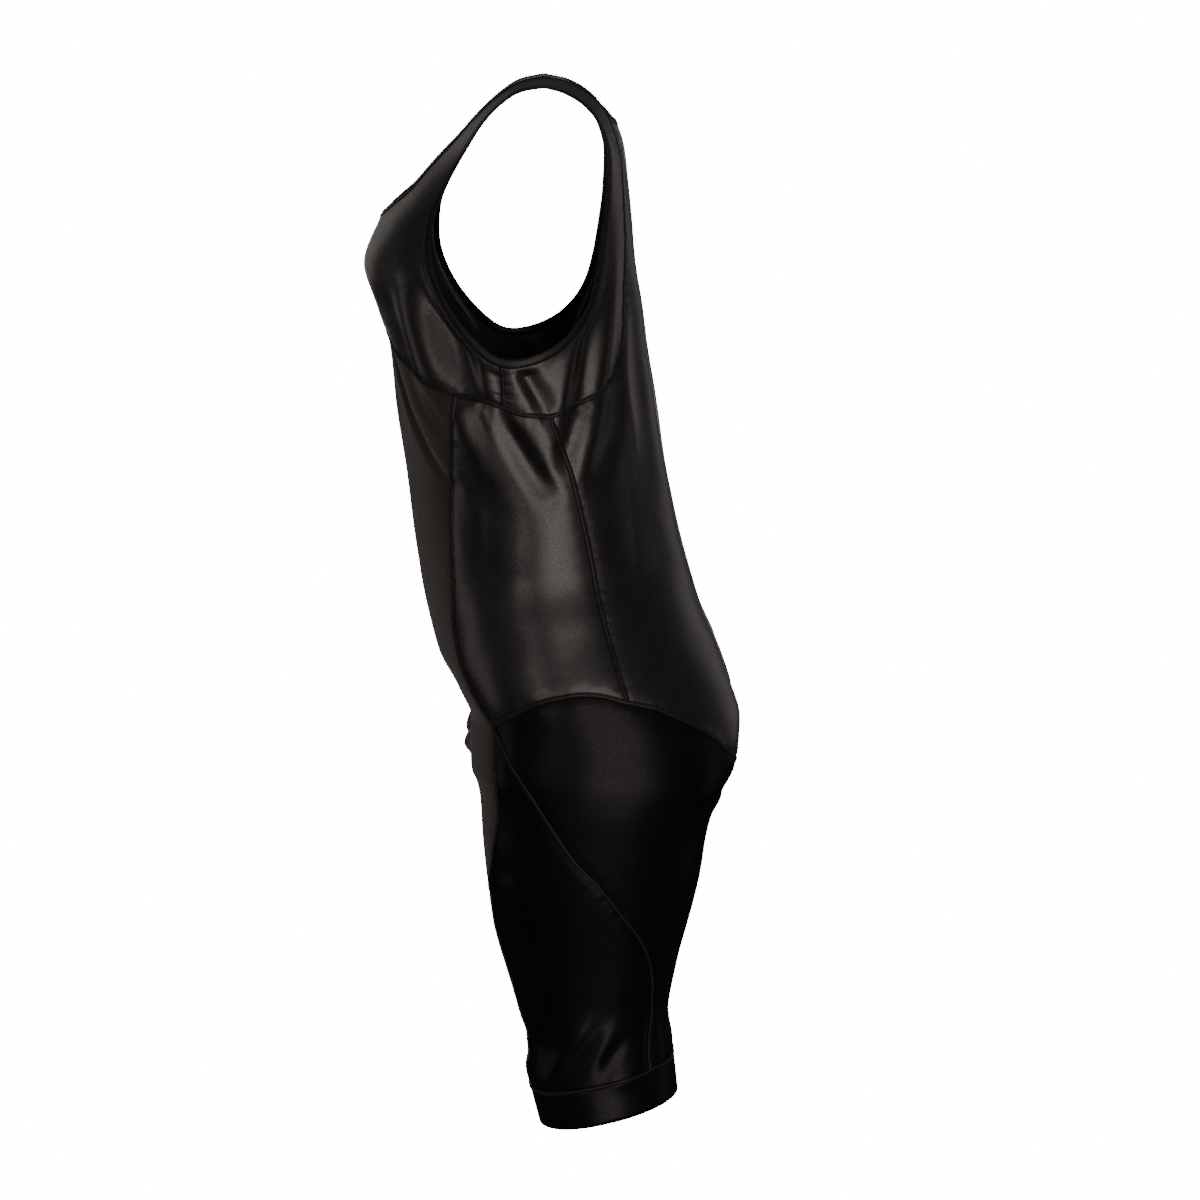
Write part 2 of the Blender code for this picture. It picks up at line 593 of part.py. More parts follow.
def seam_lines():
    """Every seam and edge of the left half, as points on the figure."""
    lines = {}
    neck = snap(spaced(FIGURE_FORM.outward(smooth_run(NECK)), NECK_SAMPLES))
    neck[[0, -1], 0] = 0
    lines["neck_front"] = snap(spaced(neck, None, (0, NECK_TO_BACK_SEAM)))
    lines["neck_back"] = snap(spaced(neck, BACK_NECK_COUNT, (NECK_TO_BACK_SEAM, 1)))
    edge = np.vstack([lines["neck_front"], lines["neck_back"][1:]])
    edge[[0, -1], 0] = 0
    lines["neck_edge"] = edge
    lines["neck_sewn"] = moved_inward(edge, -BINDING_WIDTH, ends_on_centre=True)
    lines["neck_sewn"][[0, -1], 0] = 0
    front_count = len(lines["neck_front"])
    lines["yoke_neck"] = lines["neck_sewn"][:front_count]
    lines["back_neck"] = lines["neck_sewn"][front_count - 1:]

    armhole = spaced(FIGURE_FORM.outward(smooth_run(ARMHOLE, closed=True)), ARMHOLE_COUNT)[:-1]
    lines["armhole_edge"] = snap(armhole)
    lines["armhole_sewn"] = moved_inward(lines["armhole_edge"], BINDING_WIDTH, closed=True)

    lines["princess"] = seam("side", PRINCESS_SEAM)
    lines["underbust_front"] = seam("front", UNDERBUST_FRONT)
    lines["underbust_front"][-1] = lines["princess"][0]
    lines["underbust_side"] = seam("side", UNDERBUST_SIDE)
    lines["underbust_side"][0] = lines["princess"][0]
    lines["underarm_to_side"] = seam("side", UNDERARM_TO_SIDE_SEAM)
    lines["side_to_back"] = seam("side", SIDE_SEAM_TO_BACK)
    lines["back_seam"] = seam("back", BACK_SEAM)
    lines["back_seam"][0] = lines["yoke_neck"][-1]
    lines["back_seam"][-1] = lines["side_to_back"][-1]
    lines["underarm"] = seam("side", UNDERARM_SEAM, UNDERARM_COUNT)
    lines["underarm"][0] = lines["armhole_sewn"][0]
    lines["side"] = seam("side", SIDE_SEAM)
    lines["hip_side"] = seam("side", HIP_SEAM_SIDE)
    lines["hip_back"] = seam("ring", HIP_SEAM_BACK)
    lines["hip_back"][0] = lines["hip_side"][-1]
    lines["inset"] = seam("ring", INSET_SEAM)
    lines["inset"][0] = lines["princess"][-1]
    lines["inset"][-1, 0] = FIGURE_FORM.at("inner", lines["inset"][-1, 2])

    lines["thigh"] = seam("side", THIGH_SEAM)
    foot = lines["thigh"][-1]
    foot_turn = math.degrees(math.atan2(foot[0] - FIGURE_FORM.at("lobe", foot[2]),
                                        FIGURE_FORM.at("middle", foot[2]) - foot[1]))
    front_turns = np.linspace(-90, foot_turn, BAND_FRONT_COUNT + 1)
    back_turns = np.linspace(foot_turn, 270, BAND_BACK_COUNT + 1)
    lines["band_front"] = hem_ring(front_turns, BAND_DEPTH)
    lines["band_back"] = hem_ring(back_turns, BAND_DEPTH)
    lines["thigh"][-1] = lines["band_front"][-1]
    lines["hem"] = hem_ring(np.concatenate([front_turns, back_turns[1:-1]]), 0)

    lines["front_centre"] = centre_line(lines["underbust_front"][0, 2], -1.0)
    lines["back_centre"] = centre_line(lines["back_neck"][-1, 2], 1.0)
    z = np.linspace(lines["front_centre"][0, 2], lines["yoke_neck"][0, 2], YOKE_CENTRE_POINTS)
    lines["yoke_centre"] = FIGURE_FORM.facing(np.stack([0 * z, z / MM], 1), -1.0)
    lines["yoke_centre"][0] = lines["front_centre"][0]
    lines["yoke_centre"][-1] = lines["yoke_neck"][0]
    tip_z = lines["inset"][-1, 2]
    foot_z = lines["band_front"][0, 2]
    lines["crotch"] = inseam(CROTCH_Z, CROTCH_SEAM_END_Z, 1)
    lines["inseam_upper"] = inseam(CROTCH_SEAM_END_Z, tip_z, INSEAM_COUNTS[0])
    lines["inseam_lower"] = inseam(tip_z, foot_z, INSEAM_COUNTS[1])
    lines["inset"][-1] = lines["inseam_upper"][-1]
    lines["crotch"][0, 0] = 0.0
    lines["front_centre"][-1] = lines["crotch"][0]
    lines["back_centre"][-1] = lines["crotch"][0]
    lines["hip_back"][-1] = lines["inseam_upper"][0]
    lines["band_back"][-1] = lines["band_front"][0]
    lines["inseam_lower"][-1] = lines["band_front"][0]
    return lines


def inseam(top, bottom, count):
    """The line down the inner side of a leg."""
    z = np.linspace(top, bottom, count + 1)
    return np.stack([FIGURE_FORM.at("inner", z), FIGURE_FORM.at("middle", z), z], 1)


def trunk_pieces(group, lines):
    """Yoke, back, matte front inset and side panels."""
    ring = np.vstack([lines["armhole_sewn"], lines["armhole_sewn"][:1]])
    points, faces = cut_piece(ArmMap(), (
        (ring, False),
        (lines["underarm"], False),
        (lines["underarm_to_side"], False),
        (lines["side_to_back"], False),
        (lines["back_seam"][::-1], False),
        (lines["yoke_neck"][::-1], False),
        (lines["yoke_centre"][::-1], True),
        (lines["underbust_front"], False),
        (lines["underbust_side"], False),
        (lines["underarm"][::-1], False),
    ), FINE_FILL_STEP)
    add_cloth(group, "yoke", points, faces, "coated_cloth", mirrored=True)

    points, faces = cut_piece(RoundMap(BACK_RADIUS, BACK_TURNS), (
        (lines["back_centre"], True),
        (lines["crotch"], False),
        (lines["hip_back"][::-1], False),
        (lines["side"][::-1], False),
        (lines["side_to_back"], False),
        (lines["back_seam"][::-1], False),
        (lines["back_neck"], False),
    ), BROAD_FILL_STEP)
    add_cloth(group, "back_panel", points, faces, "coated_cloth", mirrored=True)

    points, faces = cut_piece(RoundMap(FRONT_RADIUS, FRONT_TURNS), (
        (lines["front_centre"], True),
        (lines["crotch"], False),
        (lines["inseam_upper"], False),
        (lines["inset"][::-1], False),
        (lines["princess"][::-1], False),
        (lines["underbust_front"][::-1], False),
    ), FILL_STEP)
    add_cloth(group, "front_panel", points, faces, "matte_cloth", mirrored=True)

    points, faces = cut_piece(RoundMap(SIDE_RADIUS, FRONT_TURNS), (
        (lines["princess"], False),
        (lines["hip_side"], False),
        (lines["side"][::-1], False),
        (lines["underarm_to_side"][::-1], False),
        (lines["underbust_side"][::-1], False),
    ), FILL_STEP)
    for word, side in (("left", 1), ("right", -1)):
        add_cloth(group, f"side_panel_{word}", points, faces, "coated_cloth", side=side)


def leg_pieces(group, lines):
    """Thigh and leg panels and the hem bands, for both legs."""
    thigh = cut_piece(RoundMap(LEG_RADIUS, BACK_TURNS), (
        (lines["thigh"], False),
        (lines["band_back"], False),
        (lines["inseam_lower"][::-1], False),
        (lines["inseam_upper"][::-1], False),
        (lines["hip_back"][::-1], False),
        (lines["hip_side"][::-1], False),
    ), FILL_STEP)
    leg = cut_piece(RoundMap(LEG_RADIUS, FRONT_TURNS), (
        (lines["inset"], False),
        (lines["inseam_lower"], False),
        (lines["band_front"], False),
        (lines["thigh"][::-1], False),
    ), FILL_STEP)
    sewn = np.vstack([lines["band_front"], lines["band_back"][1:-1]])
    top = sewn - np.array([0, 0, SEAM_GAP])
    middle = (top + lines["hem"]) / 2
    band = strip([lines["hem"], middle, top], closed=True)
    for word, side in (("left", 1), ("right", -1)):
        add_cloth(group, f"thigh_panel_{word}", *thigh, "leg_cloth", side=side)
        add_cloth(group, f"leg_panel_{word}", *leg, "leg_cloth", side=side)
        add_cloth(group, f"hem_band_{word}", *band, "leg_cloth", side=side)


def bindings(group, lines):
    """The narrow bound edges of the armholes and the neck."""
    gap = SEAM_GAP / 2
    sewn = moved_inward(lines["armhole_sewn"], -gap, closed=True)
    points, faces = strip([sewn, lines["armhole_edge"]], closed=True)
    for word, side in (("left", 1), ("right", -1)):
        add_cloth(group, f"armhole_binding_{word}", points, faces, "binding_cloth", BINDING_WALL, side)
    sewn = moved_inward(lines["neck_sewn"], gap, ends_on_centre=True)
    points, faces = strip([sewn, lines["neck_edge"]], closed=False)
    add_cloth(group, "neck_binding", points, faces, "binding_cloth", BINDING_WALL, mirrored=True)


def main():
    """Build the garment."""
    for thing in list(bpy.data.objects):
        bpy.data.objects.remove(thing, do_unlink=True)
    group = cloth_collection()
    lines = seam_lines()
    trunk_pieces(group, lines)
    leg_pieces(group, lines)
    bindings(group, lines)


main()
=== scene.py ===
# %% [markdown]
# # A sleeveless skinsuit, filled out as worn
#
# The real suit is sewn from a few stretch panels: a yoke with wide shoulder straps, a back,
# a matte front inset, two side panels, and two panels and a hem band for each leg. The coated
# cloth is thin, smooth and nearly black, so what the eye reads is light sliding over long soft
# folds and the flat seams between the panels. Each panel here is a thin sheet laid on one
# smooth figure. The solids of the part were laid on almost the same figure. The thigh is up to
# a millimetre fuller here, and several folds are deeper than in the solids.

import math

import bmesh
import bpy
import numpy as np
from mathutils import Matrix, Vector
from mathutils.kdtree import KDTree


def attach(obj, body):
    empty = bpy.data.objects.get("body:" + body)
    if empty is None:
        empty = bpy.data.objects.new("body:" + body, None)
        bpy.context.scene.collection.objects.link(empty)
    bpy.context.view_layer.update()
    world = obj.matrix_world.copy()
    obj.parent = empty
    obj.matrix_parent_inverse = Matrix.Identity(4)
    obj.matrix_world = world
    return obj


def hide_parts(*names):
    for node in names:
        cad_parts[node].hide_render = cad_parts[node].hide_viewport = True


MM = 0.001
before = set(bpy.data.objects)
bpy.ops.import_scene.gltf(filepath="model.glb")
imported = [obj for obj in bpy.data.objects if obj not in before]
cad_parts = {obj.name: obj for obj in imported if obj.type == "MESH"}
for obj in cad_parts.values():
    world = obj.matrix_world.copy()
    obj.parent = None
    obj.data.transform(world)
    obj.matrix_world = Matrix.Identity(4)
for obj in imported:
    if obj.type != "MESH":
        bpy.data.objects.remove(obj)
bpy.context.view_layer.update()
print("solids:", len(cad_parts))

# %% [markdown]
# ## The camera
#
# The suit is seen almost straight from its left side and a little from above, by a long lens.
# A long lens from three metres keeps the far strap close to the near one, as it looks when a
# garment is photographed for a catalogue. The lens follows from the size of one pixel on it.

# %% Place the camera
PHOTO_WIDTH = 1200
METRES_PER_PIXEL = 0.86 * MM
SENSOR_WIDTH = 36
AIM = Vector((0.0, 0.047, -0.440))
CAMERA_DISTANCE = 2.9
CAMERA_RISE = 0.50
CAMERA_TURN = math.radians(1.0)


def look_from(thing, place, aim):
    """Stand a camera or a lamp at a place and point it at another."""
    thing.location = place
    thing.rotation_euler = (aim - place).to_track_quat("-Z", "Y").to_euler()


def add_camera():
    offset = Vector((math.cos(CAMERA_TURN), -math.sin(CAMERA_TURN), 0)) * CAMERA_DISTANCE
    offset.z = CAMERA_RISE
    data = bpy.data.cameras.new("camera")
    data.sensor_width = SENSOR_WIDTH
    data.lens = SENSOR_WIDTH * offset.length / METRES_PER_PIXEL / PHOTO_WIDTH
    camera = bpy.data.objects.new("camera", data)
    bpy.context.scene.collection.objects.link(camera)
    look_from(camera, AIM + offset, AIM)
    bpy.context.scene.camera = camera
    return data.lens


print("lens in mm:", round(add_camera(), 1))

# %% [markdown]
# ## The studio
#
# Black coated cloth shows mostly what it mirrors, so the lamps are large soft boxes. The key
# stands just to the right of the camera and nearly level, so the side of the suit carries one
# broad soft highlight and its edges fall away to black. A second large box lights the far side,
# and weaker ones the rest. The floor and the sky look pale to the camera but hardly light the
# cloth, so that it stays black.

# %% Floor and sky
FLOOR_HEIGHT = -2.0
FLOOR_HALF = 60.0
FLOOR_TONE = (0.10, 0.10, 0.10)
PALE = (1.0, 1.0, 1.0)
PALE_SEEN = 16.0
SKY_LIGHT = 0.08


def add_floor():
    """A floor that looks pale to the camera and lights the cloth only a little."""
    bm = bmesh.new()
    bmesh.ops.create_grid(bm, x_segments=1, y_segments=1, size=FLOOR_HALF)
    bmesh.ops.translate(bm, verts=bm.verts, vec=(0, 0, FLOOR_HEIGHT))
    mesh = bpy.data.meshes.new("floor")
    bm.to_mesh(mesh)
    bm.free()
    floor = bpy.data.objects.new("floor", mesh)
    bpy.context.scene.collection.objects.link(floor)
    material = bpy.data.materials.new("pale_floor")
    material.use_nodes = True
    nodes, links = material.node_tree.nodes, material.node_tree.links
    shader = nodes["Principled BSDF"]
    shader.inputs["Base Color"].default_value = (*FLOOR_TONE, 1)
    shader.inputs["Roughness"].default_value = 0.9
    glow = nodes.new("ShaderNodeEmission")
    glow.inputs["Color"].default_value = (*PALE, 1)
    glow.inputs["Strength"].default_value = PALE_SEEN
    seen = nodes.new("ShaderNodeLightPath")
    pick = nodes.new("ShaderNodeMixShader")
    links.new(seen.outputs["Is Camera Ray"], pick.inputs[0])
    links.new(shader.outputs[0], pick.inputs[1])
    links.new(glow.outputs[0], pick.inputs[2])
    links.new(pick.outputs[0], nodes["Material Output"].inputs["Surface"])
    mesh.materials.append(material)


def add_sky():
    world = bpy.data.worlds.new("studio")
    world.use_nodes = True
    nodes, links = world.node_tree.nodes, world.node_tree.links
    sky = nodes["Background"]
    sky.inputs["Color"].default_value = (*PALE, 1)
    seen = nodes.new("ShaderNodeLightPath")
    strength = nodes.new("ShaderNodeMix")
    strength.inputs["A"].default_value = SKY_LIGHT
    strength.inputs["B"].default_value = PALE_SEEN
    links.new(seen.outputs["Is Camera Ray"], strength.inputs["Factor"])
    links.new(strength.outputs["Result"], sky.inputs["Strength"])
    bpy.context.scene.world = world


add_floor()
add_sky()
print("floor height in mm:", round(FLOOR_HEIGHT / MM))

# %% Soft boxes
SOFT_BOX_WARMTH = (1.0, 0.90, 0.85)
SOFT_BOX_COLUMNS = ("name", "turn", "rise", "distance", "size", "power")
SOFT_BOXES = (
    ("key", 8, -4, 2.6, (1.15, 2.1), 28),
    ("side_fill", -27, 3, 2.6, (0.5, 0.6), 4.2),
    ("front_fill", -92, -6, 2.6, (1.2, 1.6), 4.5),
    ("back_fill", 96, -12, 2.6, (1.2, 1.6), 2.4),
    ("front_rim", -145, 14, 2.6, (1.2, 1.8), 2.2),
    ("back_rim", 138, 5, 2.6, (1.2, 1.6), 1.8),
    ("overhead", 20, 74, 2.0, (1.2, 1.2), 7),
    ("far_key", 183, -10, 2.6, (1.3, 2.0), 14),
)


def add_soft_box(name, turn, rise, distance, size, power):
    """A lamp at a turn from the left side towards the back, and a rise above level."""
    turn, rise = math.radians(turn), math.radians(rise)
    away = Vector((math.cos(turn) * math.cos(rise), math.sin(turn) * math.cos(rise), math.sin(rise)))
    data = bpy.data.lights.new(name, "AREA")
    data.shape = "RECTANGLE"
    data.size, data.size_y = size
    data.energy = power
    data.color = SOFT_BOX_WARMTH
    lamp = bpy.data.objects.new(name, data)
    lamp.visible_camera = False
    bpy.context.scene.collection.objects.link(lamp)
    look_from(lamp, AIM + away * distance, AIM)


for soft_box in SOFT_BOXES:
    add_soft_box(*soft_box)
print("soft boxes:", len(SOFT_BOXES))

# %% [markdown]
# ## The figure under the cloth
#
# A worn suit takes the form of what fills it. Here that is a plain, general figure, given by a
# short table of level sections. Each section is a rounded ellipse, and a smooth curve joins the
# rows, so the figure can be asked at any height. Nothing of the figure itself is ever made: it
# only says where cloth can lie.

# %% The table of level sections
STRAP_NECK_X = 62 * MM
SHOULDER_SLOPE = 0.2
SHOULDER_FADE = (-140 * MM, -60 * MM)
FIGURE_CENTRE = np.array([0.0, -25.0, -110.0]) * MM
HALVINGS = 24
FIGURE_REACH = 450 * MM

FIGURE_COLUMNS = ("z", "lobe", "outer", "inner", "front", "back", "middle",
                  "square_front", "square_back", "square_inner")
FIGURE = (
    (6, 0, 155, -155, -3, 3, 0, 4.0, 2.2, 2.2),
    (3, 0, 155, -155, -19, 19, 0, 4.0, 2.2, 2.2),
    (-7, 0, 154, -154, -36, 38, 0, 3.9, 2.5, 2.3),
    (-21, 0, 152, -152, -52, 49, 0, 3.4, 2.9, 2.6),
    (-43, 0, 149, -149, -74, 60, 0, 2.7, 2.8, 2.5),
    (-64, 0, 142, -142, -97, 67, -5, 2.4, 2.6, 2.2),
    (-86, 0, 136, -136, -115, 70, -10, 2.4, 2.6, 2.1),
    (-112, 0, 135, -135, -136, 73, -15, 2.3, 2.5, 2.1),
    (-150, 0, 139, -139, -152, 77, -19, 2.2, 2.3, 2.2),
    (-186, 0, 142, -142, -141, 83, -22, 2.2, 2.2, 2.2),
    (-218, 0, 143, -143, -131, 87, -25, 2.2, 2.2, 2.2),
    (-265, 0, 139, -139, -126, 95, -22, 2.2, 2.2, 2.2),
    (-330, 0, 130, -130, -117, 106, -10, 2.2, 2.2, 2.2),
    (-395, 0, 134, -134, -109, 120, 0, 2.2, 2.2, 2.2),
    (-440, 0, 148, -148, -101, 133, 12, 2.2, 2.2, 2.2),
    (-474, 8, 159, -155, -92, 148, 26, 2.3, 2.3, 2.6),
    (-500, 28, 166, -146, -77, 157, 36, 2.4, 2.4, 3.4),
    (-530, 52, 171, -96, -63, 164, 44, 2.4, 2.4, 5.6),
    (-552, 68, 173, -52, -63, 162, 47, 2.4, 2.4, 7.5),
    (-567, 79, 173.5, 0, -62, 158, 48, 2.4, 2.4, 7.5),
    (-576, 84, 173, 4, -58, 155, 47, 2.4, 2.4, 4.2),
    (-592, 88, 171.6, 6, -55, 147, 46, 2.3, 2.3, 2.6),
    (-615, 89, 168.4, 9, -54, 137, 44, 2.2, 2.2, 2.3),
    (-660, 87, 161, 13, -50, 129, 42, 2.2, 2.2, 2.2),
    (-700, 85, 154, 17, -45, 120, 41, 2.2, 2.2, 2.2),
    (-740, 84, 148, 21, -34, 110, 40, 2.2, 2.2, 2.2),
    (-780, 84, 144, 25, -23, 103, 40, 2.2, 2.2, 2.2),
    (-800, 85, 144, 26, -17, 107, 43, 2.2, 2.2, 2.2),
    (-825, 87, 146, 28, -18, 109, 45, 2.2, 2.2, 2.2),
    (-850, 89, 148, 30, -12, 112, 49, 2.2, 2.2, 2.2),
    (-880, 90, 149, 31, -4, 114, 53, 2.2, 2.2, 2.2),
)


# %% [markdown]
# The class below reads that table. `measure` says whether a point is inside (less than 1) or
# outside, and `meet` walks a line outwards until it leaves the figure by halving the doubt
# again and again. The other functions place points that are drawn from the side, the front,
# the back or round a leg. Drawing each seam in the view that shows it best keeps the tables short.

# %% Read the figure
def ease(low, high, value):
    """Go smoothly from 0 at low to 1 at high."""
    t = np.clip((value - low) / (high - low), 0.0, 1.0)
    return t * t * (3 - 2 * t)


def slopes_that_keep_order(heights, values):
    """Slopes of a cubic through table rows that never overshoots them."""
    steps = np.diff(heights)
    rises = np.diff(values) / steps
    slopes = np.zeros_like(values)
    for row in range(1, len(values) - 1):
        if rises[row - 1] * rises[row] > 0:
            weight_a = 2 * steps[row] + steps[row - 1]
            weight_b = steps[row] + 2 * steps[row - 1]
            slopes[row] = (weight_a + weight_b) / (weight_a / rises[row - 1] + weight_b / rises[row])
    slopes[0], slopes[-1] = rises[0], rises[-1]
    return slopes


class Figure:
    """The form that the cloth lies on: level sections, read at any height."""

    def __init__(self):
        rows = np.array(FIGURE[::-1], float)
        self.heights = rows[:, 0] * MM
        self.tracks = {}
        for column, name in enumerate(FIGURE_COLUMNS[1:], start=1):
            unit = 1.0 if name.startswith("square") else MM
            values = rows[:, column] * unit
            self.tracks[name] = (values, slopes_that_keep_order(self.heights, values))

    def at(self, name, z):
        """One column of the table at height z."""
        values, slopes = self.tracks[name]
        z = np.clip(z, self.heights[0], self.heights[-1])
        row = np.clip(np.searchsorted(self.heights, z) - 1, 0, len(self.heights) - 2)
        step = self.heights[row + 1] - self.heights[row]
        t = (z - self.heights[row]) / step
        rise = values[row + 1] - values[row]
        start, end = slopes[row] * step, slopes[row + 1] * step
        return values[row] + t * (start + t * ((3 * rise - 2 * start - end) + t * (start + end - 2 * rise)))

    def measure(self, points):
        """1 on the figure, less inside it and more outside."""
        x, y, z = points[..., 0], points[..., 1], points[..., 2]
        level = z + SHOULDER_SLOPE * (np.abs(x) - STRAP_NECK_X) * ease(*SHOULDER_FADE, z)
        lobe, middle = self.at("lobe", level), self.at("middle", level)
        across = np.where(x > lobe, self.at("outer", level) - lobe, lobe - self.at("inner", level))
        depth = np.where(y > middle, self.at("back", level) - middle, middle - self.at("front", level))
        power = np.where(y > middle, self.at("square_back", level), self.at("square_front", level))
        power = np.where(x < lobe, self.at("square_inner", level), power)
        u = np.abs(x - lobe) / across
        v = np.abs(y - middle) / depth
        above = np.maximum(level - self.heights[-1], 0) / MM
        return (u ** power + v ** power) ** (1 / power) + above

    def meet(self, start, direction):
        """Where lines from inside the figure come out of it."""
        start, direction = np.broadcast_arrays(np.asarray(start, float), np.asarray(direction, float))
        near = np.zeros(start.shape[:-1])
        far = np.full(start.shape[:-1], FIGURE_REACH)
        for _ in range(HALVINGS):
            half = (near + far) / 2
            outside = self.measure(start + half[..., None] * direction) > 1
            far = np.where(outside, half, far)
            near = np.where(outside, near, half)
        return start + near[..., None] * direction

    def normal(self, points):
        """Outward normals."""
        step = 0.5 * MM
        parts = []
        for axis in np.eye(3) * step:
            parts.append(self.measure(points + axis) - self.measure(points - axis))
        grown = np.stack(parts, -1)
        return grown / np.linalg.norm(grown, axis=-1, keepdims=True)

    def axis_point(self, z):
        """Middle of the half body at height z."""
        z = np.asarray(z, float)
        return np.stack([self.at("lobe", z), self.at("middle", z), z], -1)

    def side(self, table):
        """Points on the outer side from (y, z)."""
        y, z = np.array(table, float).T * MM
        start = np.stack([self.at("lobe", z), y, z], -1)
        return self.meet(start, (1.0, 0.0, 0.0))

    def facing(self, table, towards):
        """Points on the front (towards -1) or back (+1) from (x, z)."""
        x, z = np.array(table, float).T * MM
        start = np.stack([x, self.at("middle", z), z], -1)
        return self.meet(start, (0.0, towards, 0.0))

    def ring(self, table):
        """Points from (turn, z): 0 is the front, 90 the outer side, 180 the back."""
        turn, z = np.array(table, float).T
        angle = np.radians(turn)
        heading = np.stack([np.sin(angle), -np.cos(angle), np.zeros_like(angle)], -1)
        return self.meet(self.axis_point(z * MM), heading)

    def outward(self, table):
        """Points from (x, y, z), drawn out from the figure's centre."""
        heading = np.array(table, float) * MM - FIGURE_CENTRE
        return self.meet(FIGURE_CENTRE, heading / np.linalg.norm(heading, axis=1, keepdims=True))

    def place(self, view, table):
        """Points on the figure from a table in the named view."""
        if view == "side":
            return self.side(table)
        if view == "ring":
            return self.ring(table)
        return self.facing(table, -1.0 if view == "front" else 1.0)


FIGURE_FORM = Figure()


print("figure rows:", len(FIGURE))

# %% [markdown]
# ## Flat maps
#
# A pattern cutter works flat, and so do the panels here. A flat map unrolls a stretch of the
# figure: the trunk and the legs round their own axis, and the yoke round the arm, because the
# yoke is one piece that goes under the arm, over the shoulder and back.

# %% Two ways to unroll the figure
FRONT_TURNS = -150
BACK_TURNS = -30
BACK_RADIUS = 125 * MM
FRONT_RADIUS = 105 * MM
SIDE_RADIUS = 135 * MM
LEG_RADIUS = 82 * MM
ARM_RADIUS = 150 * MM


class RoundMap:
    """Flat map of a stretch of trunk or leg: turn times a mean radius, height."""

    def __init__(self, radius, first_turn):
        self.radius = radius
        self.first_turn = math.radians(first_turn)

    def flatten(self, points):
        offset = points - FIGURE_FORM.axis_point(points[:, 2])
        turn = np.arctan2(offset[:, 0], -offset[:, 1])
        turn = self.first_turn + (turn - self.first_turn) % (2 * math.pi)
        return np.stack([turn * self.radius, points[:, 2]], 1)

    def lay(self, flat):
        turn = flat[:, 0] / self.radius
        heading = np.stack([np.sin(turn), -np.cos(turn), np.zeros_like(turn)], -1)
        return FIGURE_FORM.meet(FIGURE_FORM.axis_point(flat[:, 1]), heading)


class ArmMap:
    """Flat map round the armhole: angle away from the arm's axis, in all directions."""

    def flatten(self, points):
        offset = points - FIGURE_CENTRE
        reach = np.linalg.norm(offset, axis=1)
        away = np.arccos(np.clip(offset[:, 0] / reach, -1, 1))
        sideways = np.hypot(offset[:, 1], offset[:, 2])
        return np.stack([offset[:, 1], offset[:, 2]], 1) / sideways[:, None] * (away * ARM_RADIUS)[:, None]

    def lay(self, flat):
        away = np.hypot(flat[:, 0], flat[:, 1]) / ARM_RADIUS
        sideways = flat / np.hypot(flat[:, 0], flat[:, 1])[:, None] * np.sin(away)[:, None]
        heading = np.stack([np.cos(away), sideways[:, 0], sideways[:, 1]], -1)
        return FIGURE_FORM.meet(FIGURE_CENTRE, heading)


# %% [markdown]
# ## Seams and edges
#
# Every panel ends at a seam, so the seams come first, each drawn once and used by both of its
# panels. Then no panel can part from its neighbour. The tables hold a few points in
# millimetres, and a smooth curve runs through them.

# %% The seam tables
BINDING_WIDTH = 7 * MM
BAND_DEPTH = 33 * MM
HEM_FRONT_Z = -873 * MM
HEM_FRONT_Y = -5 * MM
HEM_SLOPE = 0.23
CROTCH_Z = -567 * MM
CROTCH_SEAM_END_Z = -577 * MM

# Edge of the armhole from the underarm seam, forward, over the strap and back
ARMHOLE_COLUMNS = ("x", "y", "z")
ARMHOLE = (
    (143, -34, -218), (139, -55, -204), (128, -77, -175), (118, -90, -140),
    (108, -88, -104), (104, -76, -76), (103, -60, -48), (103, -42, -20),
    (104, -20, -6), (105, 1, -2), (105, 19, -7), (104, 39, -22),
    (104, 51, -47), (105, 52, -76), (108, 50, -107), (116, 43, -150),
    (127, 34, -180), (137, 15, -203), (143, -10, -216),
)

# Edge of the neck from the centre front over the strap to the centre back
NECK_COLUMNS = ("x", "y", "z")
NECK = (
    (0, -134, -107), (25, -132, -103), (45, -124, -92), (56, -112, -82),
    (61, -94, -64), (62, -73, -44), (62, -52, -22), (62, -36, -8),
    (62, -18, 2), (62, 0, 6), (62, 18, 3), (60, 34, -4), (52, 46, -14),
    (38, 53, -23), (20, 57, -29), (0, 58, -31),
)
NECK_TO_BACK_SEAM = 0.845

# Seams as they run, each in the view that shows it best: from the side as
# (y, z), from the front or the back as (x, z), round the leg as (turn, z)
UNDERBUST_FRONT = ((0, -205), (44, -213), (92, -232), (127, -249))
UNDERBUST_SIDE = ((-74, -249), (-58, -251), (-47, -254), (-34, -259))
UNDERARM_TO_SIDE_SEAM = ((-34, -259), (-20, -263), (4, -265))
SIDE_SEAM_TO_BACK = ((4, -265), (20, -260), (36, -252), (50, -243), (60, -233), (64, -219))
BACK_SEAM = ((47, -28), (60, -60), (66, -93), (69, -134), (79, -175), (94, -219))
UNDERARM_SEAM = ((-35, -225), (-34, -259))
PRINCESS_SEAM = ((-74, -249), (-76, -290), (-77, -337), (-76, -404), (-76, -450), (-64, -492), (-44, -523))
SIDE_SEAM = ((4, -265), (18, -306), (36, -383), (43, -416), (56, -460), (67, -497))
HIP_SEAM_SIDE = ((-44, -523), (-29, -511), (-8, -499), (20, -491), (44, -491), (67, -497))
HIP_SEAM_BACK = ((104, -497), (113, -503), (122, -513), (135, -527), (151, -546),
                 (172, -561), (200, -578), (230, -590), (252, -588), (270, -577))
THIGH_SEAM = ((-44, -523), (-31, -548), (-16, -571), (3, -600), (22, -629), (42, -651), (61, -677),
              (75, -697), (84, -716), (88, -737), (88, -765), (88, -817))
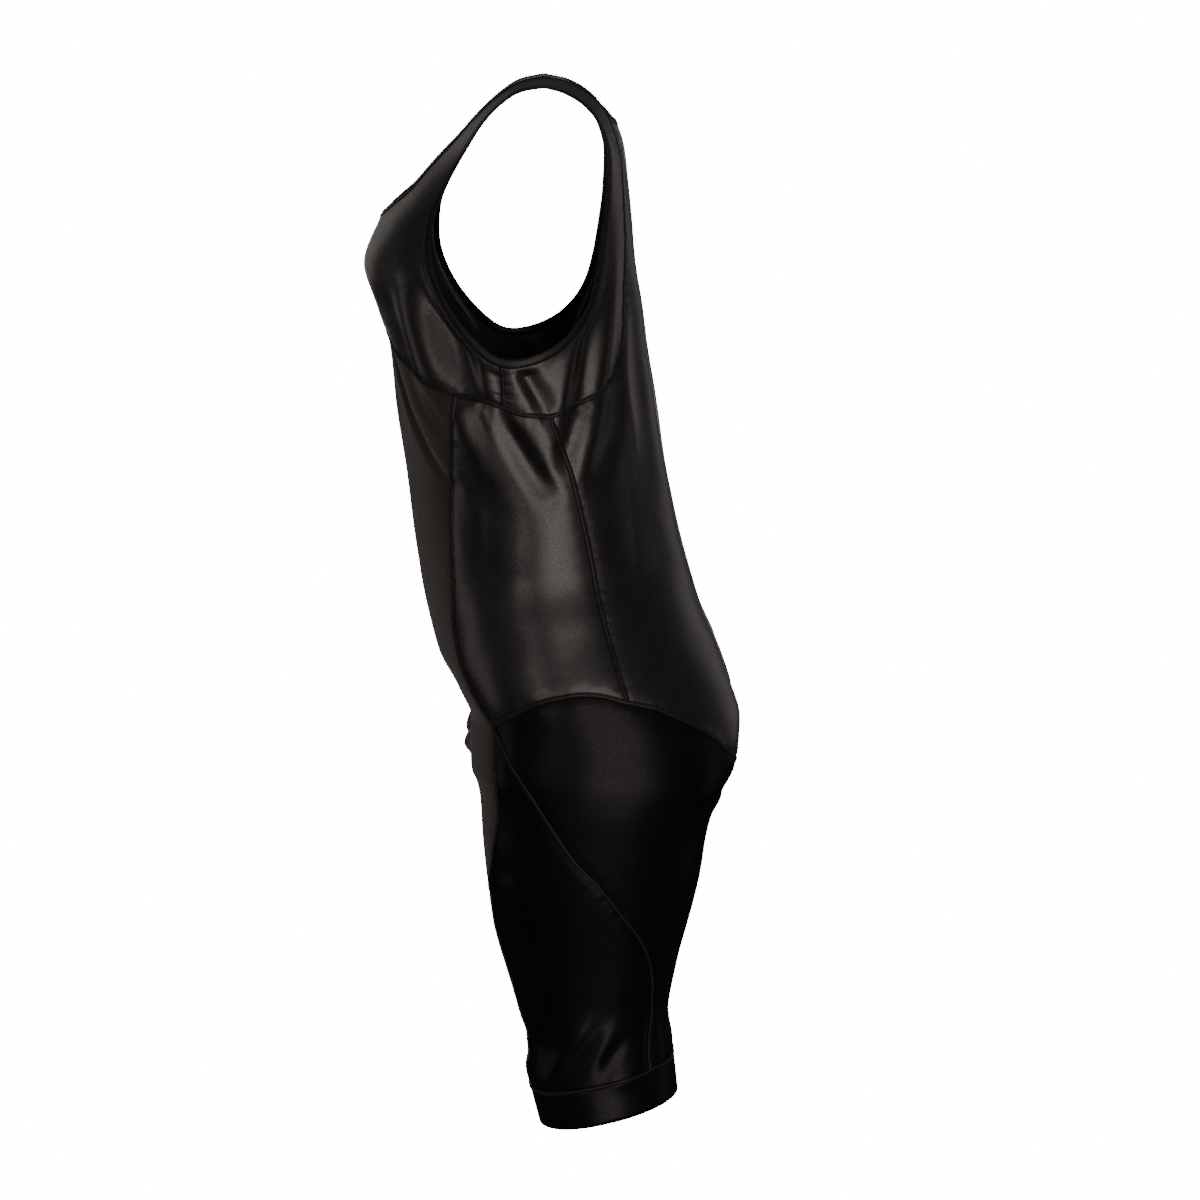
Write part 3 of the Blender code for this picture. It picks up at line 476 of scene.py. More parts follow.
INSET_SEAM = ((44, -523), (41, -536), (36, -558), (32, -579), (27, -611), (17, -648), (4, -668),
              (-20, -690), (-52, -710), (-90, -726))


# %% Draw the seams on the left half
EDGE_STEP = 3 * MM
ARMHOLE_COUNT = 192
BACK_NECK_COUNT = 18
UNDERARM_COUNT = 12
BAND_FRONT_COUNT = 84
BAND_BACK_COUNT = 42
INSEAM_COUNTS = (50, 34)
YOKE_CENTRE_POINTS = 36
CHEST_TOP_Z = -200 * MM
NECK_SAMPLES = 400
CENTRE_SAMPLES = 160
CURVE_STEPS = 12
HEM_PASSES = 8


def smooth_run(points, closed=False):
    """Many points on a smooth curve through a few."""
    points = np.asarray(points, float)
    if closed:
        padded = np.vstack([points[-1:], points, points[:2]])
    else:
        padded = np.vstack([2 * points[0] - points[1], points, 2 * points[-1] - points[-2]])
    run = []
    for a, b, c, d in zip(padded, padded[1:], padded[2:], padded[3:]):
        for t in np.linspace(0, 1, CURVE_STEPS, endpoint=False):
            run.append(0.5 * (2 * b + (c - a) * t + (2 * a - 5 * b + 4 * c - d) * t * t
                              + (3 * b - a - 3 * c + d) * t ** 3))
    run.append(padded[-2])
    return np.array(run)


def length_of(run):
    return np.linalg.norm(np.diff(run, axis=0), axis=1).sum()


def spaced(run, count=None, share=(0.0, 1.0)):
    """Even points along a curve, or along a share of its length."""
    lengths = np.concatenate([[0], np.cumsum(np.linalg.norm(np.diff(run, axis=0), axis=1))])
    start, end = lengths[-1] * share[0], lengths[-1] * share[1]
    if count is None:
        count = max(2, round((end - start) / EDGE_STEP))
    stations = np.linspace(start, end, count + 1)
    return np.stack([np.interp(stations, lengths, run[:, axis]) for axis in range(3)], 1)


def snap(points):
    """Put points near the figure on it, along the way from its middle."""
    points = np.array(points)
    high = points[:, 2] > CHEST_TOP_Z
    out = points.copy()
    if high.any():
        heading = points[high] - FIGURE_CENTRE
        out[high] = FIGURE_FORM.meet(FIGURE_CENTRE, heading / np.linalg.norm(heading, axis=1, keepdims=True))
    if (~high).any():
        start = FIGURE_FORM.axis_point(points[~high, 2])
        heading = points[~high] - start
        out[~high] = FIGURE_FORM.meet(start, heading / np.linalg.norm(heading, axis=1, keepdims=True))
    return out


def seam(view, table, count=None):
    """Evenly spaced points of a seam that is drawn in one view."""
    dense = FIGURE_FORM.place(view, smooth_run(table))
    line = spaced(dense, count)
    inner = snap(line[1:-1])
    return np.vstack([line[:1], inner, line[-1:]])


def centre_line(top_z, towards, count=None):
    """The figure's edge in the centre plane, from top_z down to the crotch."""
    drop = 1 - np.linspace(1, 0, CENTRE_SAMPLES) ** 2
    z = top_z + (CROTCH_Z + 0.01 * MM - top_z) * drop
    start = np.stack([np.zeros_like(z), FIGURE_FORM.at("middle", z), z], -1)
    run = FIGURE_FORM.meet(start, (0.0, towards, 0.0))
    run[-1] = (0.0, FIGURE_FORM.at("middle", CROTCH_Z), CROTCH_Z)
    return spaced(run, count)


def moved_inward(line, distance, closed=False, ends_on_centre=False):
    """A line moved over the figure, to its left when seen from outside."""
    if closed:
        tangent = np.roll(line, -1, axis=0) - np.roll(line, 1, axis=0)
    else:
        tangent = np.gradient(line, axis=0)
        if ends_on_centre:
            tangent[0, 1:] = 0
            tangent[-1, 1:] = 0
    sideways = np.cross(FIGURE_FORM.normal(line), tangent)
    sideways /= np.linalg.norm(sideways, axis=1, keepdims=True)
    if ends_on_centre:
        sideways[[0, -1], 0] = 0
    return snap(line + distance * sideways)


def hem_ring(turns, lift):
    """The leg's hem, or a line that lies a given height above it."""
    turns = np.asarray(turns, float)
    z = np.full(len(turns), HEM_FRONT_Z + lift)
    for _ in range(HEM_PASSES):
        line = FIGURE_FORM.ring(np.stack([turns, z / MM], 1))
        z = HEM_FRONT_Z + lift + HEM_SLOPE * (line[:, 1] - HEM_FRONT_Y)
    return line


def seam_lines():
    """Every seam and edge of the left half, as points on the figure."""
    lines = {}
    neck = snap(spaced(FIGURE_FORM.outward(smooth_run(NECK)), NECK_SAMPLES))
    neck[[0, -1], 0] = 0
    lines["neck_front"] = snap(spaced(neck, None, (0, NECK_TO_BACK_SEAM)))
    lines["neck_back"] = snap(spaced(neck, BACK_NECK_COUNT, (NECK_TO_BACK_SEAM, 1)))
    edge = np.vstack([lines["neck_front"], lines["neck_back"][1:]])
    edge[[0, -1], 0] = 0
    lines["neck_edge"] = edge
    lines["neck_sewn"] = moved_inward(edge, -BINDING_WIDTH, ends_on_centre=True)
    lines["neck_sewn"][[0, -1], 0] = 0
    front_count = len(lines["neck_front"])
    lines["yoke_neck"] = lines["neck_sewn"][:front_count]
    lines["back_neck"] = lines["neck_sewn"][front_count - 1:]

    armhole = spaced(FIGURE_FORM.outward(smooth_run(ARMHOLE, closed=True)), ARMHOLE_COUNT)[:-1]
    lines["armhole_edge"] = snap(armhole)
    lines["armhole_sewn"] = moved_inward(lines["armhole_edge"], BINDING_WIDTH, closed=True)

    lines["princess"] = seam("side", PRINCESS_SEAM)
    lines["underbust_front"] = seam("front", UNDERBUST_FRONT)
    lines["underbust_front"][-1] = lines["princess"][0]
    lines["underbust_side"] = seam("side", UNDERBUST_SIDE)
    lines["underbust_side"][0] = lines["princess"][0]
    lines["underarm_to_side"] = seam("side", UNDERARM_TO_SIDE_SEAM)
    lines["side_to_back"] = seam("side", SIDE_SEAM_TO_BACK)
    lines["back_seam"] = seam("back", BACK_SEAM)
    lines["back_seam"][0] = lines["yoke_neck"][-1]
    lines["back_seam"][-1] = lines["side_to_back"][-1]
    lines["underarm"] = seam("side", UNDERARM_SEAM, UNDERARM_COUNT)
    lines["underarm"][0] = lines["armhole_sewn"][0]
    lines["side"] = seam("side", SIDE_SEAM)
    lines["hip_side"] = seam("side", HIP_SEAM_SIDE)
    lines["hip_back"] = seam("ring", HIP_SEAM_BACK)
    lines["hip_back"][0] = lines["hip_side"][-1]
    lines["inset"] = seam("ring", INSET_SEAM)
    lines["inset"][0] = lines["princess"][-1]
    lines["inset"][-1, 0] = FIGURE_FORM.at("inner", lines["inset"][-1, 2])

    lines["thigh"] = seam("side", THIGH_SEAM)
    foot = lines["thigh"][-1]
    foot_turn = math.degrees(math.atan2(foot[0] - FIGURE_FORM.at("lobe", foot[2]),
                                        FIGURE_FORM.at("middle", foot[2]) - foot[1]))
    front_turns = np.linspace(-90, foot_turn, BAND_FRONT_COUNT + 1)
    back_turns = np.linspace(foot_turn, 270, BAND_BACK_COUNT + 1)
    lines["band_front"] = hem_ring(front_turns, BAND_DEPTH)
    lines["band_back"] = hem_ring(back_turns, BAND_DEPTH)
    lines["thigh"][-1] = lines["band_front"][-1]
    lines["hem"] = hem_ring(np.concatenate([front_turns, back_turns[1:-1]]), 0)

    lines["front_centre"] = centre_line(lines["underbust_front"][0, 2], -1.0)
    lines["back_centre"] = centre_line(lines["back_neck"][-1, 2], 1.0)
    z = np.linspace(lines["front_centre"][0, 2], lines["yoke_neck"][0, 2], YOKE_CENTRE_POINTS)
    lines["yoke_centre"] = FIGURE_FORM.facing(np.stack([0 * z, z / MM], 1), -1.0)
    lines["yoke_centre"][0] = lines["front_centre"][0]
    lines["yoke_centre"][-1] = lines["yoke_neck"][0]
    tip_z = lines["inset"][-1, 2]
    foot_z = lines["band_front"][0, 2]
    lines["crotch"] = inseam(CROTCH_Z, CROTCH_SEAM_END_Z, 1)
    lines["inseam_upper"] = inseam(CROTCH_SEAM_END_Z, tip_z, INSEAM_COUNTS[0])
    lines["inseam_lower"] = inseam(tip_z, foot_z, INSEAM_COUNTS[1])
    lines["inset"][-1] = lines["inseam_upper"][-1]
    lines["crotch"][0, 0] = 0.0
    lines["front_centre"][-1] = lines["crotch"][0]
    lines["back_centre"][-1] = lines["crotch"][0]
    lines["hip_back"][-1] = lines["inseam_upper"][0]
    lines["band_back"][-1] = lines["band_front"][0]
    lines["inseam_lower"][-1] = lines["band_front"][0]
    return lines


def inseam(top, bottom, count):
    """The line down the inner side of a leg."""
    z = np.linspace(top, bottom, count + 1)
    return np.stack([FIGURE_FORM.at("inner", z), FIGURE_FORM.at("middle", z), z], 1)


LINES = seam_lines()
print("seams:", len(LINES), "longest in mm:", round(max(length_of(line) for line in LINES.values()) / MM))

# %% [markdown]
# ## Folds
#
# A stretch suit that is filled out shows soft folds, and each has a cause. Cloth is drawn in
# under the bust and towards the underarm, it spans the hollow of the waist and ripples down the
# back from the shoulder. A crease crosses the matte inset, a roll of cloth lies at the crotch,
# and short folds pile up above the tight hem band. Each row is one fold: the view it is drawn
# in, its ends, half its width, its height (a trough is negative), how sharp it is, and how far
# it leans to one side.

# %% The fold table
FOLD_COLUMNS = ("name", "view", "start", "end", "half_width", "height", "sharp", "lean")
FOLDS = (
    ("bust_ridge", "side", (-117, -160), (-90, -254), 15, 8.0, 1.0, 0.15),
    ("bust_trough", "side", (-90, -152), (-54, -256), 15, -10.0, 1.1, -0.3),
    ("bust_second_ridge", "side", (-62, -200), (-40, -256), 7, 1.8, 1.0, 0.0),
    ("underarm_trough", "side", (-48, -212), (-33, -262), 7, -2.6, 1.4, 0.0),
    ("underarm_diagonal", "side", (-25, -216), (4, -268), 8, -4.2, 1.5, 0.3),
    ("underarm_patch", "side", (28, -200), (20, -274), 10, 3.0, 1.0, -0.3),
    ("back_arm_trough", "side", (43, -166), (15, -304), 9, -6.2, 1.4, 0.1),
    ("back_arm_ridge", "side", (58, -148), (41, -282), 8, 2.6, 1.2, 0.0),
    ("back_arm_shade", "side", (68, -164), (54, -290), 9, -2.0, 1.2, 0.0),
    ("side_ridge", "side", (-78, -258), (-38, -330), 10, 3.4, 1.0, 0.0),
    ("side_trough", "side", (-42, -256), (4, -332), 9, -5.2, 1.4, -0.2),
    ("side_second_ridge", "side", (-10, -266), (14, -318), 8, 1.2, 1.0, 0.0),
    ("side_long_trough", "side", (-46, -310), (-26, -376), 12, -1.0, 1.0, 0.0),
    ("behind_side_seam_ridge", "side", (40, -266), (24, -322), 9, 2.4, 1.0, 0.0),
    ("behind_side_seam_shade", "side", (56, -270), (40, -330), 9, -1.4, 1.0, 0.0),
    ("inset_crease", "front", (40, -210), (110, -330), 5, -4.4, 1.6, 0.2),
    ("inset_ridge", "front", (62, -214), (112, -292), 8, 1.6, 1.2, 0.0),
    ("inset_ray_one", "front", (84, -232), (112, -284), 5, -1.1, 1.6, 0.0),
    ("inset_ray_two", "front", (98, -240), (117, -276), 4, -0.9, 1.6, 0.0),
    ("inset_crease_inner", "front", (18, -216), (66, -306), 11, -1.6, 1.2, 0.0),
    ("inset_waist", "front", (104, -324), (112, -356), 9, -1.0, 1.0, 0.0),
    ("crotch_hollow", "front", (0, -522), (62, -512), 15, -5.5, 1.0, 0.0),
    ("crotch_roll", "front", (4, -560), (66, -554), 7, 6.5, 1.0, 0.3),
    ("crotch_tuck", "front", (4, -575), (70, -571), 5, -3.0, 1.4, 0.0),
    ("crotch_swell", "front", (20, -578), (60, -580), 8, 1.6, 1.0, 0.0),
    ("inset_tail_shade", "ring", (-30, -600), (-14, -660), 12, -1.2, 1.0, 0.0),
    ("back_long_ridge", "back", (36, -60), (54, -340), 14, 1.6, 1.0, 0.0),
    ("back_long_trough", "back", (72, -120), (80, -330), 12, -1.9, 1.2, 0.0),
    ("back_middle_trough", "back", (18, -80), (24, -300), 13, -1.2, 1.0, 0.0),
    ("back_short_ridge", "back", (94, -230), (96, -330), 8, 1.1, 1.0, 0.0),
    ("waist_bridge", "side", (-45, -350), (70, -350), 62, 8.0, 1.0, 0.0),
    ("small_of_back_trough", "back", (12, -280), (22, -420), 18, -1.6, 1.0, 0.0),
    ("seat_hollow", "back", (0, -470), (0, -552), 34, -3.0, 1.0, 0.0),
    ("seat_crease", "ring", (150, -580), (212, -589), 9, -3.0, 1.6, 0.3),
    ("seat_crease_low", "ring", (160, -600), (205, -606), 8, -1.0, 1.2, 0.0),
    ("thigh_crease", "side", (24, -556), (84, -561), 7, -0.4, 1.6, 0.0),
    ("inner_thigh_trough", "ring", (-80, -620), (-60, -690), 12, -1.8, 1.0, 0.0),
    ("leg_front_bend", "ring", (12, -648), (52, -640), 9, -0.8, 1.2, 0.0),
    ("leg_front_bend_low", "ring", (8, -716), (60, -706), 9, -0.8, 1.2, 0.0),
    ("cuff_ridge_front", "side", (-2, -834), (36, -774), 8, 2.6, 1.2, 0.0),
    ("cuff_trough_front", "side", (8, -830), (42, -776), 6, -2.4, 1.6, 0.0),
    ("cuff_ridge_middle", "side", (34, -822), (57, -778), 8, 2.4, 1.2, 0.0),
    ("cuff_trough_middle", "side", (46, -816), (63, -788), 6, -2.0, 1.6, 0.0),
    ("cuff_crescent", "side", (50, -827), (82, -817), 7, 2.2, 1.2, 0.0),
    ("cuff_trough_back", "side", (89, -822), (88, -782), 6, -2.8, 1.4, 0.0),
    ("cuff_knock_front", "ring", (-30, -818), (20, -812), 8, -1.8, 1.4, 0.0),
    ("cuff_ridge_inside", "ring", (-60, -832), (-94, -784), 9, 2.2, 1.2, 0.0),
    ("cuff_trough_inside", "ring", (-92, -830), (-112, -790), 8, -2.2, 1.4, 0.0),
    ("cuff_ridge_behind", "ring", (200, -816), (232, -782), 9, 2.2, 1.2, 0.0),
    ("cuff_trough_behind", "ring", (176, -816), (196, -778), 8, -2.0, 1.4, 0.0),
)
SEWN = ("underbust_front", "underbust_side", "underarm_to_side", "side_to_back", "back_seam", "underarm",
        "princess", "side", "hip_side", "hip_back", "inset", "thigh")
FAR_SIDE_HEIGHT = 0.82
FAR_SIDE_CHANGE = 0.3
FAR_SIDE_RHYTHM = 2.3
FAR_SIDE_SHIFT = (3.0, -5.0)
CUFF_FOLDS_Z = -780
MIRROR = np.array([-1.0, 1.0, 1.0])
MIDDLE_REACH = 70 * MM
ABOVE_LEGS = (-575 * MM, -550 * MM)
CALM_MIDDLE = 22 * MM
FOLD_STEPS = 10
FOLD_END = 0.05
FOLD_END_FULLNESS = 0.8

# %% Lift and sink the cloth
SEAM_DIP = 0.7 * MM
SEAM_DIP_REACH = 5 * MM
PUCKER_HEIGHT = 0.22 * MM
PUCKER_PITCH = 9 * MM
DRIFT_HEIGHT = 0.35 * MM


def fold_spines(side):
    """Every fold's line on the figure; those of the far side differ a little."""
    spines = []
    for number, (_name, view, start, end, *_sizes) in enumerate(FOLDS):
        ends = np.array([start, end], float)
        if side < 0 and view == "side" and ends[:, 1].max() > CUFF_FOLDS_Z:
            ends[:, 0] += FAR_SIDE_SHIFT[number % 2]
        table = ends[0] + np.linspace(0, 1, FOLD_STEPS + 1)[:, None] * (ends[1] - ends[0])
        spines.append(FIGURE_FORM.place(view, table))
    return spines


SPINES = {side: fold_spines(side) for side in (1, -1)}


def fold_height(points, side):
    """How far the folds lift the cloth on one side of the suit."""
    height = np.zeros(len(points))
    mirror = np.where(points[:, :1] < 0, MIRROR, 1.0)
    normals = FIGURE_FORM.normal(points * mirror) * mirror
    for number, (_name, _view, _start, _end, half_width, rise, sharp, lean) in enumerate(FOLDS):
        spine = SPINES[side][number]
        if side < 0:
            rise *= FAR_SIDE_HEIGHT + FAR_SIDE_CHANGE * math.sin(number * FAR_SIDE_RHYTHM)
        reach = half_width * MM * 2
        extent = reach * 2 + np.linalg.norm(spine[-1] - spine[0])
        near = np.linalg.norm(points - spine.mean(0), axis=1) < extent
        if not near.any():
            continue
        there, outward = points[near], normals[near]
        best = np.full(len(there), np.inf)
        along = np.zeros(len(there))
        signed = np.zeros(len(there))
        for step in range(FOLD_STEPS):
            leg = spine[step + 1] - spine[step]
            t = np.clip((there - spine[step]) @ leg / leg.dot(leg), 0, 1)
            offset = there - spine[step] - t[:, None] * leg
            gap = np.linalg.norm(offset, axis=1)
            closer = gap < best
            best = np.where(closer, gap, best)
            along = np.where(closer, (step + t) / FOLD_STEPS, along)
            sideways = np.einsum("ij,ij->i", np.cross(outward, leg), offset)
            signed = np.where(closer, np.sign(sideways), signed)
        width = reach * (1 + lean * signed)
        across = np.cos(np.clip(best / width, 0, 1) * math.pi / 2) ** (2 * sharp)
        ends_off = np.sin((FOLD_END + (1 - 2 * FOLD_END) * along) * math.pi) ** FOLD_END_FULLNESS
        height[near] += rise * MM * across * ends_off
    return height


def line_tree(names):
    """A search tree of every point of some lines, and how far along its line each is."""
    spots = np.vstack([LINES[name] for name in names])
    stations = np.concatenate([np.arange(len(LINES[name])) for name in names])
    tree = KDTree(len(spots))
    for index, spot in enumerate(spots):
        tree.insert(spot, index)
    tree.balance()
    return tree, stations


SEAM_TREE, SEAM_STATIONS = line_tree(SEWN)
EDGE_TREE = line_tree(("armhole_edge", "neck_edge"))[0]
EDGE_CALM = (BINDING_WIDTH, BINDING_WIDTH + 9 * MM)


def sewn_in(points):
    """Cloth dips at its seams and puckers a little beside them."""
    found = [SEAM_TREE.find(point) for point in points]
    gap = np.array([hit[2] for hit in found])
    phase = SEAM_STATIONS[[hit[1] for hit in found]] * EDGE_STEP / PUCKER_PITCH * 2 * math.pi
    uneven = np.sin(phase) + 0.6 * np.sin(phase * 0.53 + 1)
    dip = -SEAM_DIP * np.exp(-(gap / SEAM_DIP_REACH) ** 2)
    pucker = PUCKER_HEIGHT * uneven * np.exp(-((gap - 4 * MM) / (4 * MM)) ** 2)
    return dip + pucker


def drift(points, side):
    """Slow swells that no cloth is free of."""
    x, y, z = (points * (side, 1, 1) / MM).T
    broad = np.sin(x / 23 + y / 31) * np.sin(z / 27 + y / 19)
    narrow = np.sin(x / 11 - z / 14 + y / 17)
    return DRIFT_HEIGHT * (broad + 0.5 * narrow)


def crease(points, side=1):
    """Cloth on the figure, with its folds, for points of the left half.

    Near the middle the tails of the other side's folds are added, so they run on across it.
    """
    height = fold_height(points, side)
    middle = (np.abs(points[:, 0]) < MIDDLE_REACH) & (points[:, 2] > ABOVE_LEGS[0])
    if middle.any():
        height[middle] += fold_height(points[middle] * MIRROR, -side) * ease(*ABOVE_LEGS, points[middle, 2])
    height *= ease(*EDGE_CALM, np.array([EDGE_TREE.find(point)[2] for point in points]))
    height += sewn_in(points) + ease(0, CALM_MIDDLE, np.abs(points[:, 0])) * drift(points, side)
    creased = points + height[:, None] * FIGURE_FORM.normal(points)
    creased[np.abs(points[:, 0]) < 1e-6, 0] = 0
    return creased


print("folds:", len(FOLDS))

# %% [markdown]
# ## Finishes
#
# Three cloths show. The body is coated, with a soft leathery gloss and a very fine grain. The
# leg pieces are the same but duller. The inset is a matte warm black knit. Their grain comes
# from one node group, and the pale scuffs from another, so each cloth sets only its own values.
# Everything is worked out from object coordinates, which need no unwrapping and never slide.

# %% A node group for fine grain
def add_node(tree, kind, **settings):
    node = tree.nodes.new(kind)
    for key, value in settings.items():
        setattr(node, key, value)
    return node


def grain_group():
    """Height and tone of a fine grain, from two noises."""
    tree = bpy.data.node_groups.new("cloth_grain", "ShaderNodeTree")
    tree.interface.new_socket("Grains per metre", in_out="INPUT", socket_type="NodeSocketFloat")
    tree.interface.new_socket("Cloud size", in_out="INPUT", socket_type="NodeSocketFloat")
    tree.interface.new_socket("Height", in_out="OUTPUT", socket_type="NodeSocketFloat")
    tree.interface.new_socket("Cloud", in_out="OUTPUT", socket_type="NodeSocketFloat")
    source = add_node(tree, "NodeGroupInput")
    sink = add_node(tree, "NodeGroupOutput")
    place = add_node(tree, "ShaderNodeTexCoord")
    fine = add_node(tree, "ShaderNodeTexNoise")
    fine.inputs["Detail"].default_value = 3
    fine.inputs["Roughness"].default_value = 0.6
    cloud = add_node(tree, "ShaderNodeTexNoise")
    cloud.inputs["Detail"].default_value = 4
    links = tree.links
    links.new(place.outputs["Object"], fine.inputs["Vector"])
    links.new(place.outputs["Object"], cloud.inputs["Vector"])
    links.new(source.outputs["Grains per metre"], fine.inputs["Scale"])
    links.new(source.outputs["Cloud size"], cloud.inputs["Scale"])
    links.new(fine.outputs["Fac"], sink.inputs["Height"])
    links.new(cloud.outputs["Fac"], sink.inputs["Cloud"])
    return tree


GRAIN = grain_group()

# %% A node group for scuffs and lint
def scuff_group():
    """A mask of short pale scratches in patches, and of specks of lint."""
    tree = bpy.data.node_groups.new("cloth_wear", "ShaderNodeTree")
    tree.interface.new_socket("Amount", in_out="INPUT", socket_type="NodeSocketFloat")
    tree.interface.new_socket("Mask", in_out="OUTPUT", socket_type="NodeSocketFloat")
    source = add_node(tree, "NodeGroupInput")
    sink = add_node(tree, "NodeGroupOutput")
    place = add_node(tree, "ShaderNodeTexCoord")
    links = tree.links
    stretch = add_node(tree, "ShaderNodeMapping")
    stretch.inputs["Rotation"].default_value = (0.5, 0.2, 0.3)
    stretch.inputs["Scale"].default_value = (300, 300, 70)
    marks = add_node(tree, "ShaderNodeTexNoise")
    marks.inputs["Scale"].default_value = 1
    marks.inputs["Detail"].default_value = 2
    patches = add_node(tree, "ShaderNodeTexNoise")
    patches.inputs["Scale"].default_value = 22
    patches.inputs["Detail"].default_value = 1
    lint = add_node(tree, "ShaderNodeTexVoronoi")
    lint.inputs["Scale"].default_value = 26
    marks_range = add_node(tree, "ShaderNodeMapRange")
    marks_range.inputs["From Min"].default_value = 0.66
    marks_range.inputs["From Max"].default_value = 0.78
    patch_range = add_node(tree, "ShaderNodeMapRange")
    patch_range.inputs["From Min"].default_value = 0.6
    patch_range.inputs["From Max"].default_value = 0.72
    lint_range = add_node(tree, "ShaderNodeMapRange")
    lint_range.inputs["From Min"].default_value = 0.022
    lint_range.inputs["From Max"].default_value = 0.012
    both = add_node(tree, "ShaderNodeMath", operation="MULTIPLY")
    either = add_node(tree, "ShaderNodeMath", operation="MAXIMUM")
    amount = add_node(tree, "ShaderNodeMath", operation="MULTIPLY")
    links.new(place.outputs["Object"], stretch.inputs["Vector"])
    links.new(stretch.outputs["Vector"], marks.inputs["Vector"])
    links.new(place.outputs["Object"], patches.inputs["Vector"])
    links.new(place.outputs["Object"], lint.inputs["Vector"])
    links.new(marks.outputs["Fac"], marks_range.inputs["Value"])
    links.new(patches.outputs["Fac"], patch_range.inputs["Value"])
    links.new(lint.outputs["Distance"], lint_range.inputs["Value"])
    links.new(marks_range.outputs["Result"], both.inputs[0])
    links.new(patch_range.outputs["Result"], both.inputs[1])
    links.new(both.outputs[0], either.inputs[0])
    links.new(lint_range.outputs["Result"], either.inputs[1])
    links.new(either.outputs[0], amount.inputs[0])
    links.new(source.outputs["Amount"], amount.inputs[1])
    links.new(amount.outputs[0], sink.inputs["Mask"])
    return tree


WEAR = scuff_group()

# %% Make the finishes
CLOTH_COLUMNS = ("dark", "light", "rough", "rough_change", "grains", "clouds", "bump_mm", "wear", "sheen",
                 "coat", "shine")
CLOTHS = {
    "coated": ((0.0045, 0.0039, 0.0037), (0.010, 0.0088, 0.0084),
               0.42, 0.16, 1100, 60, 0.30, 0.30, 0.0, 0.50, 0.36),
    "leg": ((0.0022, 0.0018, 0.0017), (0.0055, 0.0044, 0.0040),
            0.50, 0.14, 1000, 50, 0.30, 0.18, 0.0, 0.13, 0.08),
    "matte": ((0.016, 0.0125, 0.0115), (0.027, 0.0215, 0.0195),
              0.80, 0.08, 1500, 90, 0.16, 0.05, 0.22, 0.0, 0.25),
    "lining": ((0.010, 0.0085, 0.0082), (0.016, 0.014, 0.0135),
               0.75, 0.08, 1300, 80, 0.12, 0.0, 0.2, 0.0, 0.3),
    "binding": ((0.0045, 0.0040, 0.0040), (0.010, 0.0090, 0.0088),
                0.46, 0.10, 1100, 80, 0.10, 0.10, 0.0, 0.10, 0.25),
    "thread": ((0.006, 0.0052, 0.0050), (0.016, 0.0138, 0.0130),
               0.62, 0.15, 3000, 500, 0.05, 0.0, 0.1, 0.0, 0.3),
}
COAT_ROUGHNESS = 0.28
MOTTLE_FROM = (0.38, 0.62)
MOTTLE = (0.5, 1.5)
SCUFF_COLOUR = (0.11, 0.10, 0.095)


def cloth_finish(name):
    """The material of one row of the table of cloths."""
    dark, light, rough, rough_change, grains, clouds, bump_mm, wear, sheen, coat, shine = CLOTHS[name]
    material = bpy.data.materials.new(name + "_cloth")
    material.use_nodes = True
    tree = material.node_tree
    links = tree.links
    shader = tree.nodes["Principled BSDF"]
    shader.inputs["Sheen Weight"].default_value = sheen
    shader.inputs["Sheen Roughness"].default_value = 0.5
    shader.inputs["Specular IOR Level"].default_value = shine
    shader.inputs["Coat Roughness"].default_value = COAT_ROUGHNESS
    grain = add_node(tree, "ShaderNodeGroup", node_tree=GRAIN)
    grain.inputs["Grains per metre"].default_value = grains
    grain.inputs["Cloud size"].default_value = clouds
    tone = add_node(tree, "ShaderNodeMix", data_type="RGBA")
    tone.inputs["A"].default_value = (*dark, 1)
    tone.inputs["B"].default_value = (*light, 1)
    worn = add_node(tree, "ShaderNodeGroup", node_tree=WEAR)
    worn.inputs["Amount"].default_value = wear
    scuffed = add_node(tree, "ShaderNodeMix", data_type="RGBA")
    scuffed.inputs["B"].default_value = (*SCUFF_COLOUR, 1)
    gloss = add_node(tree, "ShaderNodeMapRange")
    gloss.inputs["To Min"].default_value = rough - rough_change / 2
    gloss.inputs["To Max"].default_value = rough + rough_change / 2
    mottle = add_node(tree, "ShaderNodeMapRange")
    mottle.inputs["From Min"].default_value, mottle.inputs["From Max"].default_value = MOTTLE_FROM
    mottle.inputs["To Min"].default_value, mottle.inputs["To Max"].default_value = (coat * m for m in MOTTLE)
    bump = add_node(tree, "ShaderNodeBump")
    bump.inputs["Strength"].default_value = 0.6
    bump.inputs["Distance"].default_value = bump_mm * MM
    links.new(grain.outputs["Cloud"], tone.inputs["Factor"])
    links.new(tone.outputs["Result"], scuffed.inputs["A"])
    links.new(worn.outputs["Mask"], scuffed.inputs["Factor"])
    links.new(scuffed.outputs["Result"], shader.inputs["Base Color"])
    links.new(grain.outputs["Cloud"], gloss.inputs["Value"])
    links.new(gloss.outputs["Result"], shader.inputs["Roughness"])
    links.new(grain.outputs["Height"], mottle.inputs["Value"])
    links.new(mottle.outputs["Result"], shader.inputs["Coat Weight"])
    links.new(grain.outputs["Height"], bump.inputs["Height"])
    links.new(bump.outputs["Normal"], shader.inputs["Normal"])
    return material


FINISH = {name: cloth_finish(name) for name in CLOTHS}
print("finishes:", ", ".join(FINISH))

# %% [markdown]
# ## Panels
#
# Each panel is a fine grid. Its four sides are runs of seams, and the points between come from
# a Coons patch: each point takes its place from all four sides at once, as the weave of real
# cloth does when a panel is cut to shape. The patch is worked out flat and then laid on the
# figure. The finished sheet gets a thin wall, with a plain lining colour on the inside.

# %% Fill a panel between its four sides
CELL = 3.6 * MM
MIDDLE_COLUMNS = 10
MIDDLE_STEP = 0.4 * MM
CLOTH_WALL = 0.8 * MM
CLOTH_LIFT = 0.4 * MM


